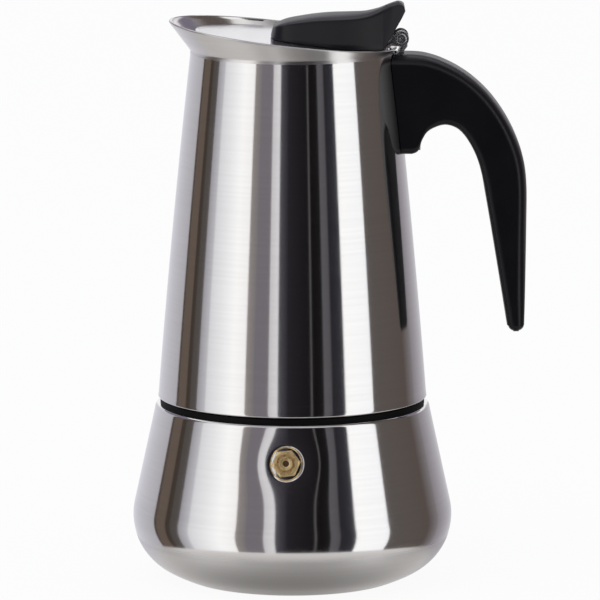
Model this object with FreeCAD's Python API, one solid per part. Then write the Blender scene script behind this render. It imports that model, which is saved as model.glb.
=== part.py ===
"""Stove-top moka pot in stainless steel, in millimetres, +Z up, origin at the centre of the foot.

The boiler stands on the origin's plane. The upper chamber screws on to its neck, the funnel
hangs in the neck, and the lid swings on a riveted hinge above the handle, which points along +X.
The safety valve sits in the boiler's wall on the -Y side. Each function makes one piece.
"""

import FreeCAD
import Part
import math
import os

V = FreeCAD.Vector
X_AXIS, Y_AXIS, Z_AXIS = V(1, 0, 0), V(0, 1, 0), V(0, 0, 1)
ORIGIN = V(0, 0, 0)

# ---- driving dimensions ----------------------------------------------------------------------
# boiler: a flat foot, a round belly and a cone that rises to the shoulder
belly_radius = 52.0
belly_arc = 19.9             # radius of the round belly in section
belly_arc_height = 20.4      # height of that arc's centre
belly_arc_end = 61.7         # degrees below the horizontal where the belly meets the underside
underside_arc = 52.0         # radius of the flatter curve between belly and foot
boiler_taper = 12.3          # degrees that the cone leans in
boiler_wall = 0.8
boiler_floor = 1.0
shoulder_height = 57.2
shoulder_round = 1.2

# neck and its rolled thread
neck_radius = 39.6
neck_wall = 1.0
neck_height = 12.8           # above the shoulder
thread_pitch = 3.0
thread_depth = 0.9
thread_root_width = 1.5
thread_crest_width = 0.7
neck_thread_turns = 2.75
ring_thread_turns = 1.5
thread_running_gap = 0.3     # radial, between a crest and the wall that it passes

# seam between boiler and upper chamber
seam_gap = 2.2
seam_seal_thickness = 1.9
seam_seal_radius = 42.4

# upper chamber: a slightly bowed cone
chamber_bottom_radius = 43.7
chamber_top_radius = 32.9
chamber_height = 113.2
chamber_bow = 0.48           # how far the wall stands outside a straight cone at mid height
chamber_wall = 0.8
chamber_foot_round = 0.5
ring_inset = 1.0             # the threaded ring starts this far above the chamber's lower edge

# pouring collar: a flare from the chamber's round top to a tilted oval rim
rim_tilt_slope = 0.116       # fall of the rim per millimetre towards the handle
rim_rise = 4.9               # rim above the chamber's top, at the pot's axis
rim_offset = -3.15           # the oval's centre, towards the spout
rim_half_length = 36.95
rim_half_width = 34.4

# seal pack and chamber floor
gasket_thickness = 3.5
gasket_outer_radius = 39.8
gasket_inner_radius = 33.5
gasket_clearance = 0.2
plate_thickness = 0.6
plate_radius = 35.6
plate_rebate_gap = 0.2
floor_thickness = 0.8
floor_rise = 9.0             # from the outer flat to the riser's collar
floor_lip_height = 3.0
floor_flat_width = 7.0

# riser and its cap
riser_radius = 6.0
riser_wall = 0.8
riser_collar_height = 4.0
riser_length = 57.0
cap_wall = 0.7
cap_height = 14.0
cap_overlap = 4.0
cap_window_width = 7.0
cap_window_height = 4.6

# funnel
basket_radius = 36.7
basket_wall = 0.7
basket_depth = 20.0
flange_thickness = 0.8
flange_radius = 39.3
funnel_cone_height = 5.0
stem_radius = 4.5
stem_wall = 0.7
stem_floor_gap = 5.0         # between the stem's mouth and the boiler's floor
screen_thickness = 0.8

# perforations shared by the screen and the filter plate
hole_radius = 0.75
hole_ring_spacing = 5.6
hole_rings = 5

# safety valve
valve_azimuth = -92.4
valve_height = 45.4
valve_seat_radius = 5.7
valve_seat_depth = 0.35
valve_seat_backing = 0.9
valve_hex_flats = 8.7
valve_hex_thickness = 2.35
valve_shank_radius = 3.0
valve_shank_length = 7.7
valve_bore = 2.0
valve_face_radius = 2.4
valve_face_groove = 3.0
valve_groove_depth = 0.9
valve_face_rise = 0.5
valve_end_wall = 1.3
plunger_rod_radius = 0.75
plunger_head_radius = 1.7
plunger_head_thickness = 1.1
plunger_gap = 0.12
plunger_travel = 1.0
valve_plug_thickness = 1.5
valve_inlet_radius = 0.8
spring_wire_radius = 0.22
spring_turns = 6
valve_nut_flats = 9.5
valve_nut_thickness = 2.4
valve_washer_radius = 5.2
valve_washer_thickness = 0.8

# lid, in its own tilted plane; local x runs towards the hinge
lid_slope = 0.10
lid_centre_x = 0.1
lid_drop = 1.45              # lid's top below the rim's plane, at the pot's axis
lid_radius = 31.6
lid_thickness = 0.8
lid_lip_depth = 0.6
lid_lip_width = 0.8
lid_edge_round = 0.3

# lid knob, in the lid's plane: length along x, height above the lid
knob_front = -7.1
knob_back = 29.3
knob_front_height = 2.1
knob_top = [(-4.5, 4.9), (1.7, 7.5), (11.2, 9.6), (17.5, 10.5), (22.4, 11.6), (26.4, 13.2),
            (29.5, 14.8)]
knob_tail_start = (32.4, 15.8)
knob_tail_tip = (34.7, 14.9)
knob_tail_end = (35.1, 12.6)
knob_plan = [(-5.6, 8.0), (-2.3, 11.4), (4.0, 13.6), (14.5, 15.6), (24.0, 13.4), (35.6, 7.2)]
knob_edge_round = 1.4
knob_screw_places = (6.0, 24.0)
screw_radius = 2.0
screw_head_radius = 3.6
screw_head_height = 2.0
screw_slot_width = 0.9
screw_slot_depth = 0.9
knob_screw_bite = 5.0
washer_radius = 4.4
washer_thickness = 0.6

# lid hinge
pin_x = 35.1
pin_height_above_chamber = 4.0
pin_radius = 1.2
pin_running_gap = 0.05
pin_head_radius = 1.75
pin_head_thickness = 0.7
knuckle_wall = 0.8
strap_width = 6.4
strap_thickness = 0.8
strap_weld_length = 8.0
leaf_thickness = 0.8
leaf_width = 9.6
leaf_side_gap = 0.4
leaf_front = 19.5
leaf_back = 30.4
ear_radius = 2.5

# handle
handle_top_drop = 0.4        # handle's top below the chamber's top edge
handle_reach = 75.8          # from the pot's axis to the handle's back
handle_arch_depth = 42.2     # from the handle's top to where its back turns straight
handle_arch_start = 37.0
handle_block_length = 33.3   # along the chamber's wall
handle_tail_length = 92.0    # from the handle's top to the tail's tip
handle_tail_thickness = 6.0
handle_root_width = 20.6
handle_tail_width = 13.0
handle_side_bow = 1.0
handle_edge_round = 2.2
handle_wall_gap = 0.15
finger_arch = [(62.1, 46.2), (60.4, 36.3), (55.7, 27.3), (49.3, 24.1), (44.2, 26.1), (41.9, 29.2)]

# handle bracket and its screw
bracket_width = 11.0
bracket_thickness = 1.6
bracket_height = 13.0
bracket_drop = 21.6          # from the chamber's top to the bracket's tab
bracket_reach = 8.0
bracket_gap = 0.3
handle_screw_offset = 3.9    # from the chamber's wall to the screw's axis
handle_screw_radius = 1.5
handle_screw_head_radius = 2.4
handle_screw_head_height = 1.8
handle_screw_recess = 3.4
fixing_washer_thickness = 0.5

# ---- derived heights -------------------------------------------------------------------------
neck_top = shoulder_height + neck_height
chamber_bottom = shoulder_height + seam_gap
chamber_top = chamber_bottom + chamber_height
flange_top = neck_top + flange_thickness
gasket_bottom = flange_top + gasket_clearance
gasket_top = gasket_bottom + gasket_thickness
floor_bottom = gasket_top + gasket_clearance
riser_base = floor_bottom + floor_thickness + floor_rise
riser_top = riser_base + riser_length
basket_floor = neck_top - basket_depth
cone_bottom = basket_floor - funnel_cone_height
pin_z = chamber_top + pin_height_above_chamber
handle_top = chamber_top - handle_top_drop
bracket_tab = chamber_top - bracket_drop
rim_tilt = math.atan(rim_tilt_slope)
lid_tilt = math.atan(lid_slope)
lid_centre_z = chamber_top + rim_rise - lid_drop
thread_crest_radius = neck_radius + thread_depth
ring_bore = thread_crest_radius + thread_running_gap
ring_bottom = chamber_bottom + ring_inset


# ---- general helpers -------------------------------------------------------------------------
def polar(centre, radius, degrees):
    """Point on a circle in the section plane, as (radius, height)."""
    angle = math.radians(degrees)
    return centre[0] + radius * math.cos(angle), centre[1] + radius * math.sin(angle)


def section_point(point):
    """A section's (radius, height) as a point in the XZ plane."""
    return V(point[0], 0, point[1])


def rounded_corner(before, corner, after, radius):
    """Start, middle and end of the arc that rounds a corner between two straight lines."""
    a, p, b = (section_point(q) for q in (before, corner, after))
    to_a, to_b = (a - p).normalize(), (b - p).normalize()
    half = to_a.getAngle(to_b) / 2
    reach = radius / math.tan(half)
    bisector = (to_a + to_b).normalize()
    centre = p + bisector * (radius / math.sin(half))
    return p + to_a * reach, centre - bisector * radius, p + to_b * reach


def outline(steps):
    """Closed wire in the XZ plane. A step is a point, (point, "round", r) or (point, "through", middle)."""
    points = [step[0] if isinstance(step[0], tuple) else step for step in steps]
    count = len(steps)
    corners = []
    for i, step in enumerate(steps):
        if len(step) == 3 and step[1] == "round":
            corners.append(rounded_corner(points[i - 1], points[i], points[(i + 1) % count], step[2]))
        else:
            place = section_point(points[i])
            corners.append((place, None, place))
    edges = []
    for i, step in enumerate(steps):
        start, end = corners[i - 1][2], corners[i][0]
        if len(step) == 3 and step[1] == "through":
            edges.append(Part.Arc(start, section_point(step[2]), end).toShape())
        elif start.distanceToPoint(end) > 1e-6:
            edges.append(Part.makeLine(start, end))
        if corners[i][1] is not None:
            edges.append(Part.Arc(*corners[i]).toShape())
    return Part.Wire(edges)


def turned(steps):
    """Solid of revolution about Z of an outline in the XZ plane."""
    return Part.Face(outline(steps)).revolve(ORIGIN, Z_AXIS, 360)


def tube(outer, inner, bottom, top):
    """Plain ring about Z."""
    return turned([(inner, bottom), (outer, bottom), (outer, top), (inner, top)])


def box(x_range, y_half, z_range):
    """Box that is centred on the XZ plane."""
    return Part.makeBox(x_range[1] - x_range[0], 2 * y_half, z_range[1] - z_range[0],
                        V(x_range[0], -y_half, z_range[0]))


def extruded(points, half_width):
    """Prism of a closed polygon in the XZ plane, centred on that plane."""
    corners = [V(x, -half_width, z) for x, z in points]
    face = Part.Face(Part.makePolygon(corners + corners[:1]))
    return face.extrude(V(0, 2 * half_width, 0))


def hexagon(flats, start, end):
    """Hexagonal prism along X with two corners level with the axis on the Y side."""
    corner = flats / math.sqrt(3)
    points = [V(start, corner * math.cos(math.radians(60 * i)), corner * math.sin(math.radians(60 * i)))
              for i in range(7)]
    return Part.Face(Part.makePolygon(points)).extrude(V(end - start, 0, 0))


def rod(radius, start, end):
    """Cylinder along X."""
    return Part.makeCylinder(radius, end - start, V(start, 0, 0), X_AXIS)


def spline(points):
    """Smooth curve through points of the XZ plane."""
    curve = Part.BSplineCurve()
    curve.interpolate([section_point(p) for p in points])
    return curve.toShape()


# ---- wall shapes that other pieces follow ----------------------------------------------------
def boiler_section(inset):
    """Belly and cone of the boiler, moved in by inset: foot, underside, belly and cone points."""
    belly_centre = (belly_radius - belly_arc, belly_arc_height)
    under_centre = polar(belly_centre, belly_arc - underside_arc, -belly_arc_end)
    belly, under = belly_arc - inset, underside_arc - inset
    floor = boiler_floor if inset else 0.0
    foot_angle = math.degrees(math.asin((floor - under_centre[1]) / under))
    return {
        "foot": polar(under_centre, under, foot_angle),
        "under_middle": polar(under_centre, under, (foot_angle - belly_arc_end) / 2),
        "belly_start": polar(belly_centre, belly, -belly_arc_end),
        "belly_middle": polar(belly_centre, belly, (boiler_taper - belly_arc_end) / 2),
        "belly_end": polar(belly_centre, belly, boiler_taper),
    }


def boiler_radius(height, inset=0.0):
    """Radius of the boiler's cone at a height, moved in by inset."""
    r, z = boiler_section(inset)["belly_end"]
    return r - (height - z) * math.tan(math.radians(boiler_taper))


def chamber_radius(height, inset=0.0):
    """Radius of the upper chamber's bowed wall at a height, moved in by inset."""
    share = (height - chamber_bottom) / chamber_height
    straight = chamber_bottom_radius + (chamber_top_radius - chamber_bottom_radius) * share
    return straight + 4 * chamber_bow * share * (1 - share) - inset


def chamber_side(bottom, top, inset):
    """Points of the chamber's wall between two heights: bottom, middle and top."""
    middle = (bottom + top) / 2
    return [(chamber_radius(z, inset), z) for z in (bottom, middle, top)]


def chamber_solid(gap=0.0):
    """The space that the upper chamber's outside fills, grown by gap and run on past both ends."""
    low, middle, high = chamber_side(chamber_bottom, chamber_top, -gap)
    return turned([(0, low[1]), low, (high, "through", middle), (0, high[1])])


def helical_ridge(root_radius, crest_radius, bottom, turns):
    """Right-handed thread ridge between two radii; its middle starts at bottom."""
    helix = Part.makeHelix(thread_pitch, thread_pitch * turns, root_radius)
    half_root, half_crest = thread_root_width / 2, thread_crest_width / 2
    points = [V(root_radius, 0, -half_root), V(crest_radius, 0, -half_crest),
              V(crest_radius, 0, half_crest), V(root_radius, 0, half_root)]
    profile = Part.makePolygon(points + points[:1])
    ridge = Part.Wire(helix).makePipeShell([profile], True, True)
    ridge.translate(V(0, 0, bottom))
    return ridge


def perforated(disc, bottom, top):
    """Disc with its pattern of round holes, in rings of six, twelve and so on."""
    drills = [Part.makeCylinder(hole_radius, top - bottom, V(0, 0, bottom))]
    for ring in range(1, hole_rings + 1):
        for i in range(6 * ring):
            x, y = polar((0, 0), ring * hole_ring_spacing, 60 * i / ring)
            drills.append(Part.makeCylinder(hole_radius, top - bottom, V(x, y, bottom)))
    return disc.cut(Part.makeCompound(drills))


# ---- frames of the tilted pieces -------------------------------------------------------------
def on_valve_axis(shape):
    """Moves a shape from the valve's own X axis, zero at the wall's outside, to its place."""
    placed = shape.copy()
    placed.rotate(ORIGIN, Y_AXIS, -boiler_taper)
    placed.translate(V(boiler_radius(valve_height), 0, valve_height))
    placed.rotate(ORIGIN, Z_AXIS, valve_azimuth)
    return placed


def on_lid(shape):
    """Moves a shape from the lid's plane, zero at its top's centre, to its place."""
    placed = shape.copy()
    placed.rotate(ORIGIN, Y_AXIS, math.degrees(lid_tilt))
    placed.translate(V(lid_centre_x, 0, lid_centre_z))
    return placed


def lid_local(x, z):
    """A point of the XZ plane in the lid's own coordinates."""
    dx, dz = x - lid_centre_x, z - lid_centre_z
    return (dx * math.cos(lid_tilt) - dz * math.sin(lid_tilt),
            dx * math.sin(lid_tilt) + dz * math.cos(lid_tilt))


# ---- boiler and safety valve -----------------------------------------------------------------
def boiler_shell():
    outside, inside = boiler_section(0.0), boiler_section(boiler_wall)
    ceiling = shoulder_height - boiler_wall
    shell = turned([
        (0, 0),
        outside["foot"],
        (outside["belly_start"], "through", outside["under_middle"]),
        (outside["belly_end"], "through", outside["belly_middle"]),
        ((boiler_radius(shoulder_height), shoulder_height), "round", shoulder_round),
        (neck_radius, shoulder_height),
        (neck_radius, neck_top),
        (neck_radius - neck_wall, neck_top),
        (neck_radius - neck_wall, ceiling),
        (boiler_radius(ceiling, boiler_wall), ceiling),
        inside["belly_end"],
        (inside["belly_start"], "through", inside["belly_middle"]),
        (inside["foot"], "through", inside["under_middle"]),
        (0, boiler_floor),
    ])
    bottom = neck_top - thread_root_width - thread_pitch * neck_thread_turns
    root = neck_radius - neck_wall / 2
    shell = shell.fuse(helical_ridge(root, thread_crest_radius, bottom, neck_thread_turns))
    seat_floor = -valve_seat_depth
    backing = rod(valve_seat_radius + boiler_wall, seat_floor - valve_seat_backing, seat_floor)
    shell = shell.fuse(on_valve_axis(backing))
    shell = shell.cut(on_valve_axis(rod(valve_seat_radius, seat_floor, valve_seat_radius)))
    return shell.cut(on_valve_axis(rod(valve_shank_radius, -valve_shank_length, 0)))


def seam_seal():
    return tube(seam_seal_radius, neck_radius + thread_running_gap, shoulder_height,
                shoulder_height + seam_seal_thickness)


def valve_end():
    """Outer face of the valve's hexagon on its own axis."""
    return valve_hex_thickness - valve_seat_depth


def valve_body():
    start, face = -valve_seat_depth, valve_end()
    tip = face + valve_face_rise
    body = hexagon(valve_hex_flats, start, face)
    body = body.common(rod(valve_hex_flats / math.sqrt(3) - 0.25, start, face))
    body = body.fuse(rod(valve_shank_radius, start - valve_shank_length, start))
    groove = rod(valve_face_groove, face - valve_groove_depth, face).cut(
        rod(valve_face_radius, face - valve_groove_depth, face))
    body = body.cut(groove).fuse(rod(valve_face_radius, face - valve_groove_depth, tip))
    body = body.cut(rod(valve_bore, start - valve_shank_length, tip - valve_end_wall))
    return on_valve_axis(body.cut(rod(plunger_rod_radius + plunger_gap, start, tip)))


def valve_seat_plug():
    inner = -valve_seat_depth - valve_shank_length
    plug = rod(valve_bore, inner, inner + valve_plug_thickness)
    return on_valve_axis(plug.cut(rod(valve_inlet_radius, inner, inner + valve_plug_thickness)))


def plunger_head_start():
    """Inner end of the plunger's head, just off the plug, on the valve's axis."""
    return -valve_seat_depth - valve_shank_length + valve_plug_thickness


def valve_plunger():
    start = plunger_head_start()
    head = rod(plunger_head_radius, start, start + plunger_head_thickness)
    nose = Part.makeCone(valve_inlet_radius * 0.5, valve_inlet_radius * 0.9, 0.6,
                         V(start - 0.6, 0, 0), X_AXIS)
    stem = rod(plunger_rod_radius, start, valve_end() + valve_face_rise - 0.2)
    return on_valve_axis(head.fuse([nose, stem]))


def valve_spring():
    start = plunger_head_start() + plunger_head_thickness + spring_wire_radius
    end = valve_end() + valve_face_rise - valve_end_wall - spring_wire_radius
    coil_radius = (plunger_rod_radius + valve_bore) / 2
    helix = Part.makeHelix((end - start) / spring_turns, end - start, coil_radius)
    circle = Part.Wire(Part.Circle(V(coil_radius, 0, 0), Y_AXIS, spring_wire_radius).toShape())
    coil = Part.Wire(helix).makePipeShell([circle], True, True)
    coil.rotate(ORIGIN, Y_AXIS, 90)
    coil.translate(V(start, 0, 0))
    return on_valve_axis(coil)


def valve_washer():
    outer = -valve_seat_depth - valve_seat_backing
    inner = outer - valve_washer_thickness
    return on_valve_axis(rod(valve_washer_radius, inner, outer).cut(rod(valve_shank_radius, inner, outer)))


def valve_nut():
    outer = -valve_seat_depth - valve_seat_backing - valve_washer_thickness
    inner = outer - valve_nut_thickness
    return on_valve_axis(hexagon(valve_nut_flats, inner, outer).cut(rod(valve_shank_radius, inner, outer)))


# ---- funnel ----------------------------------------------------------------------------------
def funnel_basket():
    inner = basket_radius - basket_wall
    drop = basket_wall
    return turned([
        (stem_radius, cone_bottom),
        (basket_radius - funnel_cone_height / 2, basket_floor - drop),
        ((basket_radius, basket_floor - drop), "round", 1.5),
        (basket_radius, neck_top),
        (flange_radius, neck_top),
        (flange_radius, flange_top),
        (inner, flange_top),
        (inner, basket_floor),
        (inner - funnel_cone_height / 2 - 1.0, basket_floor),
        (stem_radius, cone_bottom + basket_wall),
    ])


def funnel_screen():
    """Loose perforated disc that lies on the ledge at the basket's floor."""
    radius = basket_radius - basket_wall - 0.2
    disc = Part.makeCylinder(radius, screen_thickness, V(0, 0, basket_floor))
    return perforated(disc, basket_floor, basket_floor + screen_thickness)


def funnel_stem():
    bottom = boiler_floor + stem_floor_gap
    top = cone_bottom + basket_wall
    return tube(stem_radius, stem_radius - stem_wall, bottom, top)


# ---- seal pack -------------------------------------------------------------------------------
def gasket():
    rebate_radius = plate_radius + plate_rebate_gap
    rebate = gasket_top - plate_thickness - plate_rebate_gap
    return turned([
        ((gasket_inner_radius, gasket_bottom), "round", 0.6),
        ((gasket_outer_radius, gasket_bottom), "round", 0.6),
        ((gasket_outer_radius, gasket_top), "round", 0.6),
        (rebate_radius, gasket_top),
        (rebate_radius, rebate),
        (gasket_inner_radius, rebate),
    ])


def filter_plate():
    bottom = gasket_top - plate_thickness - plate_rebate_gap
    disc = Part.makeCylinder(plate_radius, plate_thickness, V(0, 0, bottom))
    return perforated(disc, bottom, bottom + plate_thickness)


# ---- upper chamber ---------------------------------------------------------------------------
def upper_shell():
    out = chamber_side(chamber_bottom, chamber_top, 0.0)
    inside = chamber_side(chamber_bottom, chamber_top, chamber_wall)
    shell = turned([
        inside[0],
        out[0],
        (out[2], "through", out[1]),
        inside[2],
        (inside[0], "through", inside[1]),
    ])
    lower_edges = [e for e in shell.Edges if abs(e.BoundBox.ZMax - chamber_bottom) < 1e-6
                   and abs(e.BoundBox.XMax - chamber_bottom_radius) < 1e-3]
    return shell.makeFillet(chamber_foot_round, lower_edges[:1])


def threaded_ring():
    side = chamber_side(ring_bottom, floor_bottom, chamber_wall)
    pocket = gasket_outer_radius + thread_running_gap
    ring = turned([
        (ring_bore, ring_bottom),
        side[0],
        (side[2], "through", side[1]),
        (pocket, floor_bottom),
        (pocket, gasket_bottom),
        (ring_bore, gasket_bottom),
    ])
    crest = neck_radius + thread_running_gap
    neck_start = neck_top - thread_root_width - thread_pitch * neck_thread_turns
    bottom = neck_start + thread_pitch / 2
    ridge = helical_ridge(ring_bore + thread_running_gap, crest, bottom, ring_thread_turns)
    return ring.fuse(ridge)


def chamber_floor():
    """Dished floor with a welded lip at the wall and a collar for the riser."""
    top = floor_bottom + floor_thickness
    lip_top = top + floor_lip_height
    flat_end = chamber_radius(top, chamber_wall) - floor_flat_width
    collar = riser_radius + floor_thickness
    side = chamber_side(floor_bottom, lip_top, chamber_wall)
    return turned([
        side[0],
        (side[2], "through", side[1]),
        (side[2][0] - floor_thickness, lip_top),
        (chamber_radius(top, chamber_wall) - floor_thickness, top),
        (flat_end, top),
        (collar, riser_base),
        (collar, riser_base + riser_collar_height),
        (riser_radius, riser_base + riser_collar_height),
        (riser_radius, riser_base - floor_thickness),
        (flat_end - floor_thickness / 2, floor_bottom),
    ])


def riser_tube():
    return tube(riser_radius, riser_radius - riser_wall, riser_base - floor_thickness, riser_top)


def riser_cap():
    """Cap over the riser with a domed top and two windows that let the coffee out sideways."""
    outer = riser_radius + cap_wall
    bottom = riser_top - cap_overlap
    top = bottom + cap_height
    cap = turned([
        (riser_radius, bottom),
        (outer, bottom),
        ((outer, top), "round", 3.0),
        (0, top),
        (0, top - cap_wall),
        ((riser_radius, top - cap_wall), "round", 2.3),
    ])
    window = Part.makeBox(2 * outer + 2, cap_window_width, cap_window_height,
                          V(-outer - 1, -cap_window_width / 2, riser_top + 1.0))
    return cap.cut(window)


def rim_height(x):
    """Height of the collar's rim above a place on the X axis."""
    return chamber_top + rim_rise - rim_tilt_slope * x


def flare(inset):
    """Space inside the pouring collar, from the chamber's top circle to the tilted oval rim."""
    base = Part.Circle(V(0, 0, chamber_top), Z_AXIS, chamber_top_radius - inset)
    oval = Part.Ellipse(V(rim_offset, 0, rim_height(rim_offset)),
                        (rim_half_length - inset) / math.cos(rim_tilt), rim_half_width - inset)
    oval.Axis = V(math.sin(rim_tilt), 0, math.cos(rim_tilt))
    oval.XAxis = V(math.cos(rim_tilt), 0, -math.sin(rim_tilt))
    return Part.makeLoft([Part.Wire(base.toShape()), Part.Wire(oval.toShape())], True, True)


def pouring_collar():
    return flare(0.0).cut(flare(chamber_wall))


# ---- lid and hinge ---------------------------------------------------------------------------
def screw_axis(place, radius, bottom, top):
    """Cylinder along the lid's normal at a place along the lid."""
    return Part.makeCylinder(radius, top - bottom, V(place, 0, bottom))


def lid_disc():
    underside = -lid_thickness
    disc = turned([
        (0, underside),
        (lid_radius - lid_lip_width, underside),
        (lid_radius - lid_lip_width, underside - lid_lip_depth),
        (lid_radius, underside - lid_lip_depth),
        ((lid_radius, 0), "round", lid_edge_round),
        (0, 0),
    ])
    for place in knob_screw_places:
        disc = disc.cut(screw_axis(place, screw_radius, underside, 0))
    return on_lid(disc)


def leaf_pocket_height():
    """Thickness of the hinge leaf and the air above it, inside the knob."""
    return leaf_thickness + 0.1


def lid_knob():
    ahead = (knob_front - 1.0, knob_front_height - 0.6)
    tail = [section_point(p) for p in (knob_tail_start, knob_tail_tip, knob_tail_end)]
    side = Part.Wire([
        spline([ahead] + knob_top + [knob_tail_start]),
        Part.Arc(*tail).toShape(),
        Part.makeLine(tail[2], section_point((knob_back, 0))),
        Part.makeLine(section_point((knob_back, 0)), section_point((ahead[0], 0))),
        Part.makeLine(section_point((ahead[0], 0)), section_point(ahead)),
    ])
    half = knob_plan[3][1] + 2
    slab = Part.Face(side).extrude(V(0, 2 * half, 0))
    slab.translate(V(0, -half, 0))
    near = [V(x, -w, 0) for x, w in reversed(knob_plan)]
    far = [V(x, w, 0) for x, w in knob_plan]
    curve = Part.BSplineCurve()
    curve.interpolate(near + [V(knob_front, 0, 0)] + far)
    edges = [curve.toShape(), Part.makeLine(far[-1], near[0])]
    plan = Part.Face(Part.Wire(edges)).extrude(V(0, 0, knob_tail_start[1] + 2))
    knob = slab.common(plan)
    knob = knob.makeFillet(knob_edge_round, [e for e in knob.Edges if is_knob_top_edge(e)])
    leaf_pocket = box((leaf_front - 0.3, knob_back + 5), leaf_width / 2 + 0.2, (-1, leaf_pocket_height()))
    knob = knob.cut(leaf_pocket)
    for place in knob_screw_places:
        knob = knob.cut(screw_axis(place, screw_radius, -1, knob_screw_bite))
    return on_lid(knob)


def is_knob_top_edge(edge):
    """True for the edges between the knob's top and its sides."""
    extent = edge.BoundBox
    return extent.ZMin > knob_front_height - 1.0 and extent.XLength > 5


def knob_screw(place):
    """One slotted screw from under the lid."""
    head_top = -lid_thickness - washer_thickness
    head_face = head_top - screw_head_height
    head = screw_axis(place, screw_head_radius, head_face, head_top)
    rim = [e for e in head.Edges if abs(e.BoundBox.ZMax - head_face) < 1e-6]
    head = head.makeFillet(0.6, rim[:1])
    slot = Part.makeBox(3 * screw_head_radius, screw_slot_width, screw_slot_depth,
                        V(place - 1.5 * screw_head_radius, -screw_slot_width / 2, head_face))
    return on_lid(head.cut(slot).fuse(screw_axis(place, screw_radius, head_top, knob_screw_bite)))


def knob_washer(place):
    """One plain washer between the lid and a screw's head."""
    base = -lid_thickness - washer_thickness
    washer = screw_axis(place, washer_radius, base, -lid_thickness)
    return on_lid(washer.cut(screw_axis(place, screw_radius, base, -lid_thickness)))


def hinge_leaf():
    """Folded leaf under the knob: a flat plate on the lid and two ears that carry the pin."""
    px, pz = lid_local(pin_x, pin_z)
    half = leaf_width / 2
    plate = box((leaf_front, leaf_back), half, (0, leaf_thickness))
    start = leaf_back - 0.3
    dx, dz = px - start, pz - leaf_thickness
    spread = math.asin(ear_radius / math.hypot(dx, dz))
    top_angle = math.atan2(dz, dx) + spread + math.pi / 2
    tangent = (px + ear_radius * math.cos(top_angle), pz + ear_radius * math.sin(top_angle))
    low = pz - ear_radius
    side = extruded([(start, 0), (leaf_back, 0), (leaf_back + 1.4, low - 0.1), (px, low), (px, pz), tangent,
                     (start, leaf_thickness)], half)
    ears = side.fuse(Part.makeCylinder(ear_radius, 2 * half, V(px, -half, pz), Y_AXIS))
    ears = ears.cut(box((leaf_back, px + 10), half - leaf_thickness, (-5, pz + 10)))
    ears = ears.cut(box((leaf_front, px + 10), half - leaf_thickness, (leaf_thickness, pz + 10)))
    leaf = plate.fuse(ears).cut(Part.makeCylinder(pin_radius, 2 * half, V(px, -half, pz), Y_AXIS))
    return on_lid(leaf.cut(screw_axis(knob_screw_places[1], screw_radius, -1, 2)))


def hinge_pin():
    """Rivet with a head at each end, carried by the leaf's ears."""
    half = leaf_width / 2
    pin = Part.makeCylinder(pin_radius, 2 * half, V(pin_x, -half, pin_z), Y_AXIS)
    heads = [Part.makeCylinder(pin_head_radius, pin_head_thickness, V(pin_x, y, pin_z), Y_AXIS)
             for y in (-half - pin_head_thickness, half)]
    return pin.fuse(heads)


def strap_leg(front_gap, back_gap, half_width, top, bottom):
    """Leg of the hinge strap along the chamber's wall, grown by the gaps."""
    reach = chamber_radius(bottom)
    leg = box((0, reach + strap_thickness + back_gap), half_width, (bottom, top))
    return leg.cut(chamber_solid(front_gap))


def hinge_strap():
    """Strap that is rolled round the pin and welded to the chamber's wall under the handle."""
    half = strap_width / 2
    inner = pin_radius + pin_running_gap
    outer = inner + knuckle_wall
    knuckle = Part.makeCylinder(outer, strap_width, V(pin_x, -half, pin_z), Y_AXIS)
    weld_bottom = chamber_top - strap_weld_length
    rim_clear = rim_offset + rim_half_length + 0.3
    back = pin_x + outer
    bend = chamber_top - 2.2
    wall = chamber_radius(bend)
    leg = extruded([
        (back - strap_thickness, pin_z), (rim_clear + 0.5, chamber_top + 1.0), (wall, bend),
        (chamber_radius(weld_bottom), weld_bottom),
        (chamber_radius(weld_bottom) + strap_thickness, weld_bottom),
        (wall + strap_thickness + 0.6, bend), (back, chamber_top + 1.4), (back, pin_z),
    ], half)
    leg = leg.cut(chamber_solid())
    strap = knuckle.fuse(leg)
    return strap.cut(Part.makeCylinder(inner, strap_width, V(pin_x, -half, pin_z), Y_AXIS))


# ---- handle ----------------------------------------------------------------------------------
def handle_side():
    """Side outline of the handle in the XZ plane."""
    tail_bottom = handle_top - handle_tail_length
    inside_wall = chamber_top_radius - 3.0
    straight_from = handle_top - handle_arch_depth
    tip_back = (handle_reach, tail_bottom)
    tip_front = (handle_reach - handle_tail_thickness, tail_bottom)
    steps = 6
    arch_reach = handle_reach - handle_arch_start
    turns = [math.pi / 2 * i / steps for i in range(steps + 1)]
    arch = [(handle_arch_start + arch_reach * math.sin(turn),
             straight_from + handle_arch_depth * math.cos(turn)) for turn in turns]
    outer = Part.BSplineCurve()
    arch_points = [section_point(p) for p in arch]
    outer.interpolate(arch_points, InitialTangent=V(30, 0, 0), FinalTangent=V(0, 0, -30))
    fingers = [(x, handle_top - drop) for x, drop in finger_arch]
    block_end = (chamber_radius(handle_top - handle_block_length) + 0.4, handle_top - handle_block_length)
    rise = (section_point(fingers[0]) - section_point(tip_front)).normalize()
    inner = Part.BSplineCurve()
    inner.interpolate([section_point(p) for p in fingers + [block_end]],
                      InitialTangent=rise * 30, FinalTangent=V(-12, 0, 0))
    return Part.Wire([
        Part.makeLine(section_point((inside_wall, handle_top)), section_point(arch[0])),
        outer.toShape(),
        Part.makeLine(section_point(arch[-1]), section_point(tip_back)),
        Part.makeLine(section_point(tip_back), section_point(tip_front)),
        Part.makeLine(section_point(tip_front), section_point(fingers[0])),
        inner.toShape(),
        Part.makeLine(section_point(block_end), section_point((inside_wall, block_end[1]))),
        Part.makeLine(section_point((inside_wall, block_end[1])), section_point((inside_wall, handle_top))),
    ])


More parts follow.
